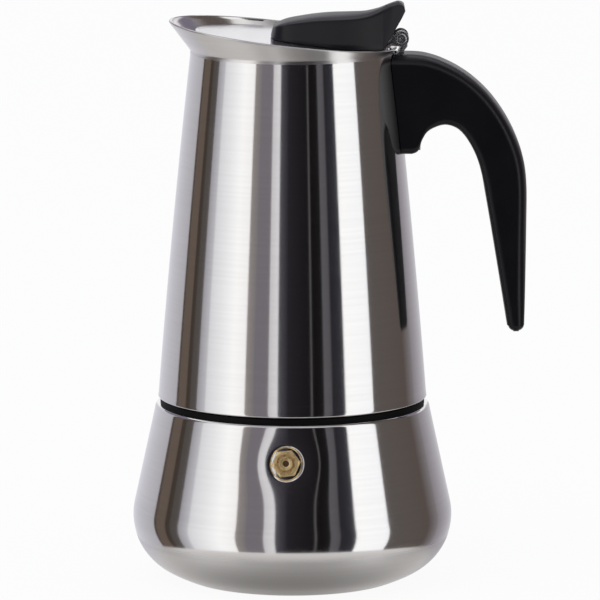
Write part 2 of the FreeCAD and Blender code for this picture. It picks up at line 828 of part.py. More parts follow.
def handle_front():
    """Front outline of the handle in the YZ plane: straight below, bowed sides, narrower at the tail."""
    root, tail = handle_root_width / 2, handle_tail_width / 2
    top, bottom = handle_top + 1, handle_top - handle_tail_length - 1
    middle = (top + bottom) / 2
    edges = []
    for side in (-1, 1):
        points = [V(0, side * root, top), V(0, side * ((root + tail) / 2 + handle_side_bow), middle),
                  V(0, side * tail, bottom)]
        edges.append(Part.Arc(*points).toShape())
    edges.append(Part.makeLine(V(0, -root, top), V(0, root, top)))
    edges.append(Part.makeLine(V(0, -tail, bottom), V(0, tail, bottom)))
    return Part.Face(Part.Wire(Part.__sortEdges__(edges)))


def handle_blank():
    """Handle with tapered sides and rounded edges, before the chamber and pockets are cut out."""
    half = handle_root_width / 2 + 1
    slab = Part.Face(handle_side()).extrude(V(0, 2 * half, 0))
    slab.translate(V(0, -half, 0))
    blank = slab.common(handle_front().extrude(V(handle_reach + 5, 0, 0)))
    tail_bottom = handle_top - handle_tail_length
    beyond_wall = chamber_top_radius + 1
    sides = [e for e in blank.Edges if e.BoundBox.XMax > beyond_wall and e.BoundBox.YLength < 4.5]
    tail = [e for e in blank.Edges if e.BoundBox.ZMax < tail_bottom + 0.01 and e.BoundBox.XLength < 0.1]
    return blank.makeFillet(handle_edge_round, sides + tail)


def bracket_pocket(gap):
    """Space that the bracket takes inside the handle, grown by gap but for the face that bears."""
    bottom = bracket_tab
    top = bracket_tab + bracket_height + gap
    reach = chamber_radius(bracket_tab) + bracket_reach + gap
    shelf = box((0, reach), bracket_width / 2 + gap, (bottom, bracket_tab + bracket_thickness + gap))
    plate_back = chamber_radius(bracket_tab) + bracket_thickness + gap
    plate = box((0, plate_back), bracket_width / 2 + gap, (bottom, top))
    return shelf.fuse(plate)


def handle_screw_x():
    """Distance of the handle's fixing screw from the pot's axis."""
    return chamber_radius(bracket_tab) + handle_screw_offset


def handle_screw_seat():
    """Height of the ledge that the fixing screw's washer bears on."""
    return handle_top - handle_block_length + handle_screw_recess


def handle_screw_end():
    """Height of the fixing screw's upper end, just past the bracket's shelf."""
    return bracket_tab + bracket_thickness + 1.5


def handle_grip():
    grip = handle_blank().cut(chamber_solid(handle_wall_gap))
    collar_radius = rim_offset + rim_half_length + 0.4
    collar_space = Part.makeCylinder(collar_radius, rim_rise + 6, V(0, 0, chamber_top - 1.6))
    grip = grip.cut(collar_space).cut(bracket_pocket(bracket_gap))
    weld_bottom = chamber_top - strap_weld_length
    slot_back = chamber_radius(weld_bottom) + strap_thickness + 1.4
    grip = grip.cut(box((0, slot_back), strap_width / 2 + 0.4, (weld_bottom - 0.5, handle_top + 1)))
    axis = V(handle_screw_x(), 0, 0)
    recess = Part.makeCylinder(handle_screw_head_radius + 0.25, handle_screw_seat(), axis)
    hole = Part.makeCylinder(handle_screw_radius + 0.2, handle_screw_end() + 0.3, axis)
    return grip.cut(recess).cut(hole)


def handle_bracket():
    bracket = bracket_pocket(0.0).cut(chamber_solid())
    return bracket.cut(Part.makeCylinder(handle_screw_radius, chamber_top, V(handle_screw_x(), 0, 0)))


def handle_screw():
    seat = handle_screw_seat() - fixing_washer_thickness
    axis = handle_screw_x()
    head = Part.makeCylinder(handle_screw_head_radius, handle_screw_head_height,
                             V(axis, 0, seat - handle_screw_head_height))
    corner = V(axis - handle_screw_head_radius, -screw_slot_width / 2, seat - handle_screw_head_height)
    slot = Part.makeBox(2 * handle_screw_head_radius, screw_slot_width, screw_slot_depth, corner)
    shank = Part.makeCylinder(handle_screw_radius, handle_screw_end() - seat, V(axis, 0, seat))
    return head.cut(slot).fuse(shank)


def handle_screw_washer():
    top = handle_screw_seat()
    washer = Part.makeCylinder(handle_screw_head_radius, fixing_washer_thickness,
                               V(handle_screw_x(), 0, top - fixing_washer_thickness))
    return washer.cut(Part.makeCylinder(handle_screw_radius, top, V(handle_screw_x(), 0, 0)))


PIECES = [
    boiler_shell, seam_seal,
    valve_body, valve_seat_plug, valve_plunger, valve_spring, valve_washer, valve_nut,
    funnel_basket, funnel_screen, funnel_stem, gasket, filter_plate,
    upper_shell, threaded_ring, chamber_floor, riser_tube, riser_cap, pouring_collar,
    lid_disc, lid_knob, hinge_leaf, hinge_pin, hinge_strap,
    handle_grip, handle_bracket, handle_screw, handle_screw_washer,
]

pot = {make_piece.__name__: make_piece() for make_piece in PIECES}
for end, place in zip(("front", "back"), knob_screw_places):
    pot[f"knob_screw_{end}"] = knob_screw(place)
    pot[f"knob_washer_{end}"] = knob_washer(place)

os.makedirs("parts", exist_ok=True)
for name, piece in pot.items():
    print(f"{name:22s} solids {len(piece.Solids)} valid {piece.isValid()} volume {piece.Volume:.2f}")
    piece.exportStep(f"parts/{name}.step")
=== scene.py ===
"""Looks of a stove-top moka pot in polished steel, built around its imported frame, in metres.

The pot stands on z = 0 with its handle towards +X, its spout towards -X and the safety valve at -Y.
Round pieces are turned from a section by one Geometry Nodes tree; the handle, the knob and the
pouring collar are lattices of cross-sections; each finish is a small procedural material.
"""

import logging
import math
from dataclasses import dataclass, field
from enum import Enum
from typing import Any, Callable, Iterable, Sequence

import bmesh
import bpy
import numpy as np
from mathutils import Matrix, Vector


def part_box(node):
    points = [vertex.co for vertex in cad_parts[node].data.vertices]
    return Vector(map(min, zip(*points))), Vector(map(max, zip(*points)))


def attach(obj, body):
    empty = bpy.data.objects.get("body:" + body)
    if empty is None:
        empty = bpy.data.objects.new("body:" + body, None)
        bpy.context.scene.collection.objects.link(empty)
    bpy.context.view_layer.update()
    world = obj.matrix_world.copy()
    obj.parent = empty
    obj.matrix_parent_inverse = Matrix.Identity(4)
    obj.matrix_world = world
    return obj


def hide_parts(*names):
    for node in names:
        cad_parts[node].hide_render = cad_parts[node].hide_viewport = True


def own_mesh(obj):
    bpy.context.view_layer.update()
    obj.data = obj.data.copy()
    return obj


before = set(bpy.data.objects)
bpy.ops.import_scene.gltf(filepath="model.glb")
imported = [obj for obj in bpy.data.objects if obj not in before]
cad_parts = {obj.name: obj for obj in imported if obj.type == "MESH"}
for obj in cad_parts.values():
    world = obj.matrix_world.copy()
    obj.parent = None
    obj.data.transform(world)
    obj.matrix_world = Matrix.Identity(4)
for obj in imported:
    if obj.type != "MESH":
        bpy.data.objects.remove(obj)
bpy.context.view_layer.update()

MM = 0.001
LOG = logging.getLogger("moka_pot")
Rgb = tuple[float, float, float]
Point = tuple[float, float]


# ---- node trees -------------------------------------------------------------------------------
class Term:
    """One socket of a node tree, used as a number in a Python expression."""

    def __init__(self, tree: bpy.types.NodeTree, socket: bpy.types.NodeSocket) -> None:
        """Wraps a socket.

        Args:
            tree: The tree that the socket's node is in.
            socket: An output socket that gives a number.
        """
        self.tree = tree
        self.socket = socket

    def _math(self, operation: str, *others: Any, swapped: bool = False) -> "Term":
        """Adds a Math node.

        Args:
            operation: The Math node's operation.
            others: The other operands, terms or numbers.
            swapped: Whether the first other operand comes before this one.

        Returns:
            The node's result.
        """
        node = self.tree.nodes.new("ShaderNodeMath")
        node.operation = operation
        operands = [self, *others]
        if swapped:
            operands[0], operands[1] = operands[1], operands[0]
        for slot, value in zip(node.inputs, operands):
            feed(self.tree, slot, value)
        return Term(self.tree, node.outputs[0])

    def __add__(self, other: Any) -> "Term":
        """This plus other."""
        return self._math("ADD", other)

    __radd__ = __add__

    def __sub__(self, other: Any) -> "Term":
        """This minus other."""
        return self._math("SUBTRACT", other)

    def __rsub__(self, other: Any) -> "Term":
        """Other minus this."""
        return self._math("SUBTRACT", other, swapped=True)

    def __mul__(self, other: Any) -> "Term":
        """This times other."""
        return self._math("MULTIPLY", other)

    __rmul__ = __mul__

    def __truediv__(self, other: Any) -> "Term":
        """This divided by other."""
        return self._math("DIVIDE", other)

    def __pow__(self, other: Any) -> "Term":
        """This to the power of other."""
        return self._math("POWER", other)

    def __mod__(self, other: Any) -> "Term":
        """The rest of this over other, never negative."""
        return self._math("FLOORED_MODULO", other)

    def cos(self) -> "Term":
        """The cosine of this, in radians."""
        return self._math("COSINE")

    def sin(self) -> "Term":
        """The sine of this, in radians."""
        return self._math("SINE")

    def rounded(self) -> "Term":
        """This to the nearest whole number."""
        return self._math("ROUND")

    def larger(self, other: Any) -> "Term":
        """The larger of this and other."""
        return self._math("MAXIMUM", other)


def feed(tree: bpy.types.NodeTree, slot: bpy.types.NodeSocket, value: Any) -> None:
    """Gives an input socket a link or a value.

    Args:
        tree: The tree that the socket is in.
        slot: The input socket.
        value: A term, an output socket, or a plain value.
    """
    if isinstance(value, Term):
        tree.links.new(value.socket, slot)
    elif isinstance(value, bpy.types.NodeSocket):
        tree.links.new(value, slot)
    else:
        slot.default_value = value


@dataclass
class Bench:
    """A node tree under construction."""

    tree: bpy.types.NodeTree

    def add(self, kind: str, settings: dict[str, Any] | None = None,
            inputs: dict[Any, Any] | None = None) -> bpy.types.Node:
        """Adds a node.

        Args:
            kind: The node's type.
            settings: Its properties, such as an operation, which are set first.
            inputs: Values or links by socket name or index.

        Returns:
            The new node.
        """
        node = self.tree.nodes.new(kind)
        for name, value in (settings or {}).items():
            setattr(node, name, value)
        for name, value in (inputs or {}).items():
            feed(self.tree, node.inputs[name], value)
        return node

    def term(self, kind: str, settings: dict[str, Any] | None = None,
             inputs: dict[Any, Any] | None = None, output: Any = 0) -> Term:
        """Adds a node and gives one of its outputs as a term.

        Args:
            kind: The node's type.
            settings: Its properties.
            inputs: Values or links by socket name or index.
            output: The output socket's name or index.

        Returns:
            The output as a term.
        """
        return Term(self.tree, self.add(kind, settings, inputs).outputs[output])

    def ramp(self, factor: Any, stops: Sequence[tuple[float, Rgb]]) -> bpy.types.NodeSocket:
        """Adds a colour ramp.

        Args:
            factor: What drives the ramp.
            stops: Places and colours, in order.

        Returns:
            The ramp's colour output.
        """
        node = self.add("ShaderNodeValToRGB", {}, {"Fac": factor})
        elements = node.color_ramp.elements
        while len(elements) < len(stops):
            elements.new(0.5)
        for element, (place, colour) in zip(elements, stops):
            element.position = place
            element.color = (*colour, 1.0)
        return node.outputs["Color"]


# ---- geometry trees ---------------------------------------------------------------------------
class SocketKind(Enum):
    """Kinds of group inputs that the geometry trees use."""

    GEOMETRY = "NodeSocketGeometry"
    NUMBER = "NodeSocketFloat"
    COUNT = "NodeSocketInt"
    MATERIAL = "NodeSocketMaterial"
    PIECE = "NodeSocketObject"


class GrowthTree:
    """A Geometry Nodes tree with named inputs, which grows a mesh from an object's own points."""

    def __init__(self, name: str, inputs: dict[str, SocketKind]) -> None:
        """Makes the tree with its interface.

        Args:
            name: The tree's name.
            inputs: Its inputs after the geometry, by name.
        """
        self.tree = bpy.data.node_groups.new(name, "GeometryNodeTree")
        face = self.tree.interface
        face.new_socket(name="Points", in_out="INPUT", socket_type=SocketKind.GEOMETRY.value)
        for label, kind in inputs.items():
            face.new_socket(name=label, in_out="INPUT", socket_type=kind.value)
        face.new_socket(name="Piece", in_out="OUTPUT", socket_type=SocketKind.GEOMETRY.value)
        self.bench = Bench(self.tree)
        self.given = self.bench.add("NodeGroupInput")

    def number(self, name: str) -> Term:
        """One of the tree's number inputs as a term."""
        return Term(self.tree, self.given.outputs[name])

    def close(self, geometry: bpy.types.NodeSocket) -> None:
        """Ends the tree in Realize Instances and Set Material.

        Args:
            geometry: What the tree has grown.
        """
        real = self.bench.add("GeometryNodeRealizeInstances", {}, {"Geometry": geometry})
        dressed = self.bench.add("GeometryNodeSetMaterial", {}, {
            "Geometry": real.outputs[0], "Material": self.given.outputs["Material"]})
        self.bench.add("NodeGroupOutput", {}, {"Piece": dressed.outputs[0]})

    def grow(self, name: str, points: bpy.types.Mesh, values: dict[str, Any]) -> bpy.types.Mesh:
        """Runs the tree on a mesh and gives the plain result.

        Args:
            name: The new mesh's name.
            points: The mesh that the tree starts from.
            values: The tree's inputs by name.

        Returns:
            The grown mesh with its modifier gone.
        """
        holder = bpy.data.objects.new(name + "_seed", points)
        bpy.context.scene.collection.objects.link(holder)
        modifier = holder.modifiers.new("Grow", "NODES")
        modifier.node_group = self.tree
        for item in self.tree.interface.items_tree:
            if item.in_out == "INPUT" and item.name in values:
                modifier[item.identifier] = values[item.name]
        graph = bpy.context.evaluated_depsgraph_get()
        mesh = bpy.data.meshes.new_from_object(holder.evaluated_get(graph))
        mesh.name = name
        bpy.data.objects.remove(holder)
        return mesh


class Lathe(GrowthTree):
    """Turns a closed section about Z. Its points give radius in x and height in z.

    Focus below 1 draws the columns together at the azimuth, where a small feature needs them.
    """

    def __init__(self) -> None:
        """Builds the tree."""
        super().__init__("Lathe", {
            "Columns": SocketKind.COUNT, "Focus": SocketKind.NUMBER,
            "Azimuth": SocketKind.NUMBER, "Material": SocketKind.MATERIAL})
        bench, section = self.bench, self.given.outputs["Points"]
        rows = bench.term("GeometryNodeAttributeDomainSize", {}, {"Geometry": section}, "Point Count")
        columns = self.number("Columns") + 1
        grid = bench.add("GeometryNodeMeshGrid", {}, {
            "Size X": 1.0, "Size Y": 1.0, "Vertices X": columns, "Vertices Y": rows + 1})
        place = bench.add("GeometryNodeInputPosition")
        parts = bench.add("ShaderNodeSeparateXYZ", {}, {0: place.outputs[0]})
        across, along = Term(self.tree, parts.outputs["X"]) * 2, Term(self.tree, parts.outputs["Y"]) + 0.5
        row = (along * rows).rounded() % rows
        sample = bench.add("GeometryNodeSampleIndex", {"data_type": "FLOAT_VECTOR"}, {
            "Geometry": section, "Value": place.outputs[0], "Index": row})
        point = bench.add("ShaderNodeSeparateXYZ", {}, {0: sample.outputs[0]})
        radius = Term(self.tree, point.outputs["X"])
        focus = self.number("Focus")
        turn = focus * across + (1 - focus) * across * across * across
        angle = self.number("Azimuth") + turn * math.pi
        spun = bench.add("ShaderNodeCombineXYZ", {}, {
            "X": radius * angle.cos(), "Y": radius * angle.sin(), "Z": point.outputs["Z"]})
        moved = bench.add("GeometryNodeSetPosition", {}, {
            "Geometry": grid.outputs["Mesh"], "Position": spun.outputs[0]})
        merged = bench.add("GeometryNodeMergeByDistance", {}, {
            "Geometry": moved.outputs[0], "Distance": 2e-6})
        smooth = bench.add("GeometryNodeSetShadeSmooth", {}, {"Geometry": merged.outputs[0]})
        self.close(smooth.outputs[0])


class HelixRidge(GrowthTree):
    """Sweeps a rolled thread ridge along a right-handed helix. Its one point is the helix's start."""

    def __init__(self) -> None:
        """Builds the tree."""
        super().__init__("Helix_ridge", {
            "Turns": SocketKind.NUMBER, "Pitch": SocketKind.NUMBER, "Radius": SocketKind.NUMBER,
            "Root Width": SocketKind.NUMBER, "Crest Width": SocketKind.NUMBER,
            "Depth": SocketKind.NUMBER, "Material": SocketKind.MATERIAL})
        bench = self.bench
        height = self.number("Turns") * self.number("Pitch")
        helix = bench.add("GeometryNodeCurveSpiral", {}, {
            "Resolution": 96, "Rotations": self.number("Turns"), "Start Radius": self.number("Radius"),
            "End Radius": self.number("Radius"), "Height": height, "Reverse": True})
        upright = bench.add("GeometryNodeSetCurveNormal", {"mode": "Z_UP"}, {"Curve": helix.outputs[0]})
        ridge = bench.add("GeometryNodeCurvePrimitiveQuadrilateral", {"mode": "TRAPEZOID"}, {
            "Bottom Width": self.number("Root Width"), "Top Width": self.number("Crest Width"),
            "Height": self.number("Depth"), "Offset": 0.0})
        swept = bench.add("GeometryNodeCurveToMesh", {}, {
            "Curve": upright.outputs[0], "Profile Curve": ridge.outputs[0], "Fill Caps": True})
        placed = bench.add("GeometryNodeInstanceOnPoints", {}, {
            "Points": self.given.outputs["Points"], "Instance": swept.outputs[0]})
        self.close(placed.outputs[0])


class Perforation(GrowthTree):
    """Cuts a round hole through a disc at each of the object's points."""

    def __init__(self) -> None:
        """Builds the tree."""
        super().__init__("Perforation", {
            "Disc Radius": SocketKind.NUMBER, "Thickness": SocketKind.NUMBER,
            "Hole Radius": SocketKind.NUMBER, "Material": SocketKind.MATERIAL})
        bench = self.bench
        disc = bench.add("GeometryNodeMeshCylinder", {}, {
            "Vertices": 128, "Radius": self.number("Disc Radius"), "Depth": self.number("Thickness")})
        drill = bench.add("GeometryNodeMeshCylinder", {}, {
            "Vertices": 14, "Radius": self.number("Hole Radius"), "Depth": self.number("Thickness") * 3})
        drills = bench.add("GeometryNodeInstanceOnPoints", {}, {
            "Points": self.given.outputs["Points"], "Instance": drill.outputs["Mesh"]})
        bored = bench.add("GeometryNodeMeshBoolean", {"operation": "DIFFERENCE"}, {
            "Mesh 1": disc.outputs["Mesh"], "Mesh 2": drills.outputs[0]})
        self.close(bored.outputs[0])


class Fixings(GrowthTree):
    """Puts a copy of one fixing at each of the object's points."""

    def __init__(self) -> None:
        """Builds the tree."""
        super().__init__("Fixings", {"Fixing": SocketKind.PIECE, "Material": SocketKind.MATERIAL})
        bench = self.bench
        source = bench.add("GeometryNodeObjectInfo", {}, {"Object": self.given.outputs["Fixing"]})
        placed = bench.add("GeometryNodeInstanceOnPoints", {}, {
            "Points": self.given.outputs["Points"], "Instance": source.outputs["Geometry"]})
        self.close(placed.outputs[0])


# ---- finishes ---------------------------------------------------------------------------------
@dataclass(frozen=True)
class Finish:
    """What every finish shares: its name and its shader's fixed values."""

    name: str
    colour: Rgb
    roughness: float
    metallic: float = 0.0

    def begin(self) -> tuple[Bench, bpy.types.Node, bpy.types.Material]:
        """Makes the material with its shader.

        Returns:
            The bench, the shader node and the material.
        """
        material = bpy.data.materials.new(self.name)
        material.use_nodes = True
        material.node_tree.nodes.clear()
        bench = Bench(material.node_tree)
        shader = bench.add("ShaderNodeBsdfPrincipled", {}, {
            "Base Color": (*self.colour, 1.0), "Roughness": self.roughness, "Metallic": self.metallic})
        bench.add("ShaderNodeOutputMaterial", {}, {"Surface": shader.outputs[0]})
        return bench, shader, material

    @staticmethod
    def noise(bench: Bench, scale: Sequence[float], detail: float = 2.0, turned: Sequence[float] = (0, 0, 0),
              origin: Sequence[float] = (0, 0, 0)) -> Term:
        """Noise on Object coordinates with its own frequency along each axis.

        Args:
            bench: The tree to add to.
            scale: Waves per metre along x, y and z.
            detail: The noise's detail.
            turned: Rotation of the pattern, in radians.
            origin: The pattern's origin, in metres.

        Returns:
            The noise, about 0.5 on average.
        """
        where = bench.add("ShaderNodeTexCoord").outputs["Object"]
        mapped = bench.add("ShaderNodeMapping", {"vector_type": "TEXTURE"}, {
            "Vector": where, "Location": origin, "Rotation": turned})
        stretched = bench.add("ShaderNodeVectorMath", {"operation": "MULTIPLY"}, {
            0: mapped.outputs[0], 1: scale})
        return bench.term("ShaderNodeTexNoise", {}, {
            "Vector": stretched.outputs[0], "Scale": 1.0, "Detail": detail}, "Fac")

    @staticmethod
    def relief(bench: Bench, shader: bpy.types.Node, height: Term, strength: float, distance: float) -> None:
        """Feeds a bump to the shader's normal.

        Args:
            bench: The tree to add to.
            shader: The shader node.
            height: The relief.
            strength: The bump's strength.
            distance: The relief's height, in metres.
        """
        bump = bench.add("ShaderNodeBump", {}, {"Strength": strength, "Distance": distance, "Height": height})
        feed(bench.tree, shader.inputs["Normal"], bump.outputs[0])


@dataclass(frozen=True)
class TurnedSteel(Finish):
    """Steel polished on the lathe: fine level lines, softer along the height than around."""

    metallic: float = 1.0
    lines: float = 5200.0
    line_depth: float = 0.4e-6
    stretch: float = 0.6
    cloud: float = 0.04
    satin_top: float = -1.0
    satin: float = 0.3
    inside: float | None = None

    def material(self) -> bpy.types.Material:
        """Builds the material."""
        bench, shader, material = self.begin()
        fine = self.noise(bench, (25, 25, self.lines), 3)
        cloudy = self.noise(bench, (45, 45, 90), 3)
        height = bench.add("ShaderNodeSeparateXYZ", {}, {0: bench.add("ShaderNodeTexCoord").outputs["Object"]})
        below = bench.term("ShaderNodeMapRange", {"interpolation_type": "SMOOTHSTEP"}, {
            "Value": height.outputs["Z"], "From Min": self.satin_top, "From Max": self.satin_top - 0.003,
            "To Min": 0.0, "To Max": self.satin - self.roughness})
        base = self.roughness + below
        if self.inside is not None:
            base = base + bench.term("ShaderNodeAttribute", {"attribute_name": "inside"}, {}, "Fac") * (
                self.inside - self.roughness)
        feed(bench.tree, shader.inputs["Roughness"], base + (fine - 0.5) * 0.05 + (cloudy - 0.5) * self.cloud)
        shade = self.noise(bench, (12, 12, self.lines * 0.25), 2)
        tint = bench.ramp(shade, [(0.25, tuple(c * 0.96 for c in self.colour)), (0.75, self.colour)])
        feed(bench.tree, shader.inputs["Base Color"], tint)
        shader.inputs["Anisotropic"].default_value = self.stretch
        shader.inputs["Anisotropic Rotation"].default_value = 0.25
        self.relief(bench, shader, fine, 1.0, self.line_depth)
        return material


@dataclass(frozen=True)
class SatinSteel(Finish):
    """Steel with a short even grain."""

    metallic: float = 1.0
    grain: tuple[float, float, float] = (300.0, 300.0, 2500.0)
    grain_depth: float = 1.5e-6

    def material(self) -> bpy.types.Material:
        """Builds the material."""
        bench, shader, material = self.begin()
        grain = self.noise(bench, self.grain, 3)
        cloudy = self.noise(bench, (60, 60, 60), 2)
        feed(bench.tree, shader.inputs["Roughness"],
             self.roughness + (grain - 0.5) * 0.14 + (cloudy - 0.5) * 0.08)
        tint = bench.ramp(cloudy, [(0.3, tuple(c * 0.94 for c in self.colour)), (0.7, self.colour)])
        feed(bench.tree, shader.inputs["Base Color"], tint)
        self.relief(bench, shader, grain, 1.0, self.grain_depth)
        return material


@dataclass(frozen=True)
class MouldedPlastic(Finish):
    """Black moulded plastic with a fine spark-eroded skin."""

    skin: float = 4200.0
    skin_depth: float = 2.5e-6
    gloss: float = 0.34

    def material(self) -> bpy.types.Material:
        """Builds the material."""
        bench, shader, material = self.begin()
        skin = self.noise(bench, (self.skin, self.skin, self.skin), 2)
        worn = self.noise(bench, (70, 70, 70), 3)
        feed(bench.tree, shader.inputs["Roughness"], self.roughness + (worn - 0.5) * 0.1 + (skin - 0.5) * 0.06)
        tint = bench.ramp(worn, [(0.3, self.colour), (0.8, tuple(c * 1.25 for c in self.colour))])
        feed(bench.tree, shader.inputs["Base Color"], tint)
        shader.inputs["Specular IOR Level"].default_value = self.gloss
        self.relief(bench, shader, skin, 0.6, self.skin_depth)
        return material


@dataclass(frozen=True)
class TurnedBrass(Finish):
    """Brass with lathe rings about the valve's own axis."""

    metallic: float = 0.85
    origin: tuple[float, float, float] = (0.0, 0.0, 0.0)
    turned: tuple[float, float, float] = (0.0, 0.0, 0.0)

    def material(self) -> bpy.types.Material:
        """Builds the material."""
        bench, shader, material = self.begin()
        where = bench.add("ShaderNodeTexCoord").outputs["Object"]
        local = bench.add("ShaderNodeMapping", {"vector_type": "TEXTURE"}, {
            "Vector": where, "Location": self.origin, "Rotation": self.turned})
        parts = bench.add("ShaderNodeSeparateXYZ", {}, {0: local.outputs[0]})
        y, z = Term(bench.tree, parts.outputs["Y"]), Term(bench.tree, parts.outputs["Z"])
        ring = ((y * y + z * z) ** 0.5) * 11000
        rings = ring.sin() * 0.5 + 0.5
        tarnish = self.noise(bench, (900, 900, 900), 3)
        feed(bench.tree, shader.inputs["Roughness"], self.roughness + (tarnish - 0.5) * 0.3)
        dark = (self.colour[0] * 0.62, self.colour[1] * 0.55, self.colour[2] * 0.42)
        feed(bench.tree, shader.inputs["Base Color"],
             bench.ramp(tarnish, [(0.3, dark), (0.5, self.colour), (0.8, tuple(c * 1.08 for c in self.colour))]))
        self.relief(bench, shader, rings + tarnish * 0.4, 1.0, 12.0e-6)
        return material


@dataclass(frozen=True)
class Silicone(Finish):
    """Matt silicone rubber."""

    gloss: float = 0.5

    def material(self) -> bpy.types.Material:
        """Builds the material."""
        bench, shader, material = self.begin()
        skin = self.noise(bench, (2500, 2500, 2500), 2)
        feed(bench.tree, shader.inputs["Roughness"], self.roughness + (skin - 0.5) * 0.2)
        tint = bench.ramp(skin, [(0.3, self.colour), (0.8, tuple(c * 1.15 for c in self.colour))])
        feed(bench.tree, shader.inputs["Base Color"], tint)
        shader.inputs["Specular IOR Level"].default_value = self.gloss
        self.relief(bench, shader, skin, 0.5, 8.0e-6)
        return material


class Palette:
    """Every finish of the pot, made once."""

    def __init__(self, valve: "ValvePlace") -> None:
        """Makes the materials.

        Args:
            valve: Where the safety valve is, for its turning rings.
        """
        self.polished = TurnedSteel("polished_steel", (0.80, 0.795, 0.79), 0.10, satin_top=0.0161, satin=0.37).material()
        self.collar = TurnedSteel("collar_steel", (0.79, 0.775, 0.76), 0.30, lines=2600.0,
                                  line_depth=1.0e-6, cloud=0.06, inside=0.19).material()
        self.lid = SatinSteel("lid_steel", (0.80, 0.79, 0.83), 0.17, grain=(2200.0, 500.0, 2200.0),
                              grain_depth=0.35e-6).material()
        self.inner = SatinSteel("inner_steel", (0.70, 0.69, 0.68), 0.28).material()
        self.bright = SatinSteel("bright_fixings", (0.80, 0.80, 0.81), 0.26,
                                 grain=(900.0, 900.0, 900.0), grain_depth=1.0e-6).material()
        self.plastic = MouldedPlastic("black_plastic", (0.0036, 0.0034, 0.0056), 0.33).material()
        self.brass = TurnedBrass("brass", (0.92, 0.70, 0.36), 0.36, origin=tuple(valve.origin),
                                 turned=(0.0, -valve.lean, valve.azimuth)).material()
        # Dark brass for the plunger deep in the valve's hole: painted shade that makes the hole read black.
        self.hole_shade_brass = TurnedBrass("painted_shade_brass", (0.20, 0.14, 0.08), 0.5, origin=tuple(valve.origin),
                                     turned=(0.0, -valve.lean, valve.azimuth)).material()
        # Near-black rubber for the seam ring: painted shade of the gap between the two halves.
        self.black_silicone = Silicone("black_silicone", (0.003, 0.003, 0.003), 0.6, gloss=0.12).material()
        self.white_silicone = Silicone("white_silicone", (0.78, 0.78, 0.75), 0.5).material()


# ---- mesh helpers -----------------------------------------------------------------------------
def arc(centre: Point, radius: float, start: float, end: float, steps: int) -> list[Point]:
    """Points on a circle of the section plane.

    Args:
        centre: The circle's centre, as radius and height.
        radius: The circle's radius.
        start: The first point's angle, in degrees.
        end: The last point's angle, in degrees.
        steps: The number of steps between them.

    Returns:
        The points, first and last included.
    """
    angles = np.radians(np.linspace(start, end, steps + 1))
    return [(centre[0] + radius * math.cos(a), centre[1] + radius * math.sin(a)) for a in angles]


def line(start: Point, end: Point, steps: int) -> list[Point]:
    """Evenly spaced points on a straight run, first and last included."""
    return [(start[0] + (end[0] - start[0]) * i / steps, start[1] + (end[1] - start[1]) * i / steps)
            for i in range(steps + 1)]


def smooth_path(points: Sequence[Sequence[float]], count: int) -> np.ndarray:
    """A Catmull-Rom curve with even knots through points, evenly spaced along its length.

    Args:
        points: The points to pass through.
        count: How many points to give back.

    Returns:
        An array with one row for each point.
    """
    p = np.array(points, float)
    p = np.vstack([2 * p[0] - p[1], p, 2 * p[-1] - p[-2]])
    dense = []
    for a, b, c, d in zip(p[:-3], p[1:-2], p[2:-1], p[3:]):
        t = np.linspace(0, 1, 24, endpoint=False)[:, None]
        dense.append(0.5 * (2 * b + (c - a) * t + (2 * a - 5 * b + 4 * c - d) * t ** 2
                            + (3 * b - a - 3 * c + d) * t ** 3))
    dense = np.vstack(dense + [p[-2:-1]])
    length = np.concatenate([[0], np.cumsum(np.linalg.norm(np.diff(dense, axis=0), axis=1))])
    even = np.linspace(0, length[-1], count)
    return np.column_stack([np.interp(even, length, dense[:, i]) for i in range(dense.shape[1])])


def section_mesh(points: Iterable[Point]) -> bpy.types.Mesh:
    """A mesh of loose points for the lathe, with repeated points left out."""
    kept: list[Point] = []
    for point in points:
        if not kept or math.dist(point, kept[-1]) > 4e-6:
            kept.append(point)
    if math.dist(kept[0], kept[-1]) < 4e-6:
        kept.pop()
    mesh = bpy.data.meshes.new("section")
    mesh.from_pydata([(r, 0.0, z) for r, z in kept], [], [])
    return mesh


def point_mesh(points: Iterable[Sequence[float]]) -> bpy.types.Mesh:
    """A mesh of loose points."""
    mesh = bpy.data.meshes.new("points")
    mesh.from_pydata([tuple(p) for p in points], [], [])
    return mesh


def lattice(name: str, rows: np.ndarray, closed: bool = True, capped: bool = True) -> bpy.types.Mesh:
    """Skin over rows of points.

    Args:
        name: The mesh's name.
        rows: Array of row, column and coordinate. Columns run round in a ring.
        closed: Whether the last row joins the first.
        capped: Whether the first and last rows are filled when the rows aren't closed.

    Returns:
        The mesh, as built from the rows.
    """
    count, around = rows.shape[:2]
    faces = []
    for i in range(count if closed else count - 1):
        n = (i + 1) % count
        for j in range(around):
            k = (j + 1) % around
            faces.append((i * around + j, i * around + k, n * around + k, n * around + j))
    if capped and not closed:
        faces.append(tuple(range(around)))
        faces.append(tuple(range((count - 1) * around, count * around)))
    mesh = bpy.data.meshes.new(name)
    mesh.from_pydata(rows.reshape(-1, 3).tolist(), [], faces)
    return mesh


def finished(mesh: bpy.types.Mesh, sharp: float = 32.0) -> bpy.types.Mesh:
    """Merges doubles, turns faces outward and shades smooth but for sharp edges.

    Args:
        mesh: The mesh to finish.
        sharp: Edges over this many degrees stay sharp.

    Returns:
        The same mesh.
    """
    work = bmesh.new()
    work.from_mesh(mesh)
    bmesh.ops.remove_doubles(work, verts=work.verts, dist=1e-6)
    bmesh.ops.dissolve_degenerate(work, edges=work.edges, dist=1e-7)
    bmesh.ops.recalc_face_normals(work, faces=work.faces)
    work.to_mesh(mesh)
    work.free()
    mesh.shade_smooth()
    mesh.set_sharp_from_angle(angle=math.radians(sharp))
    return mesh


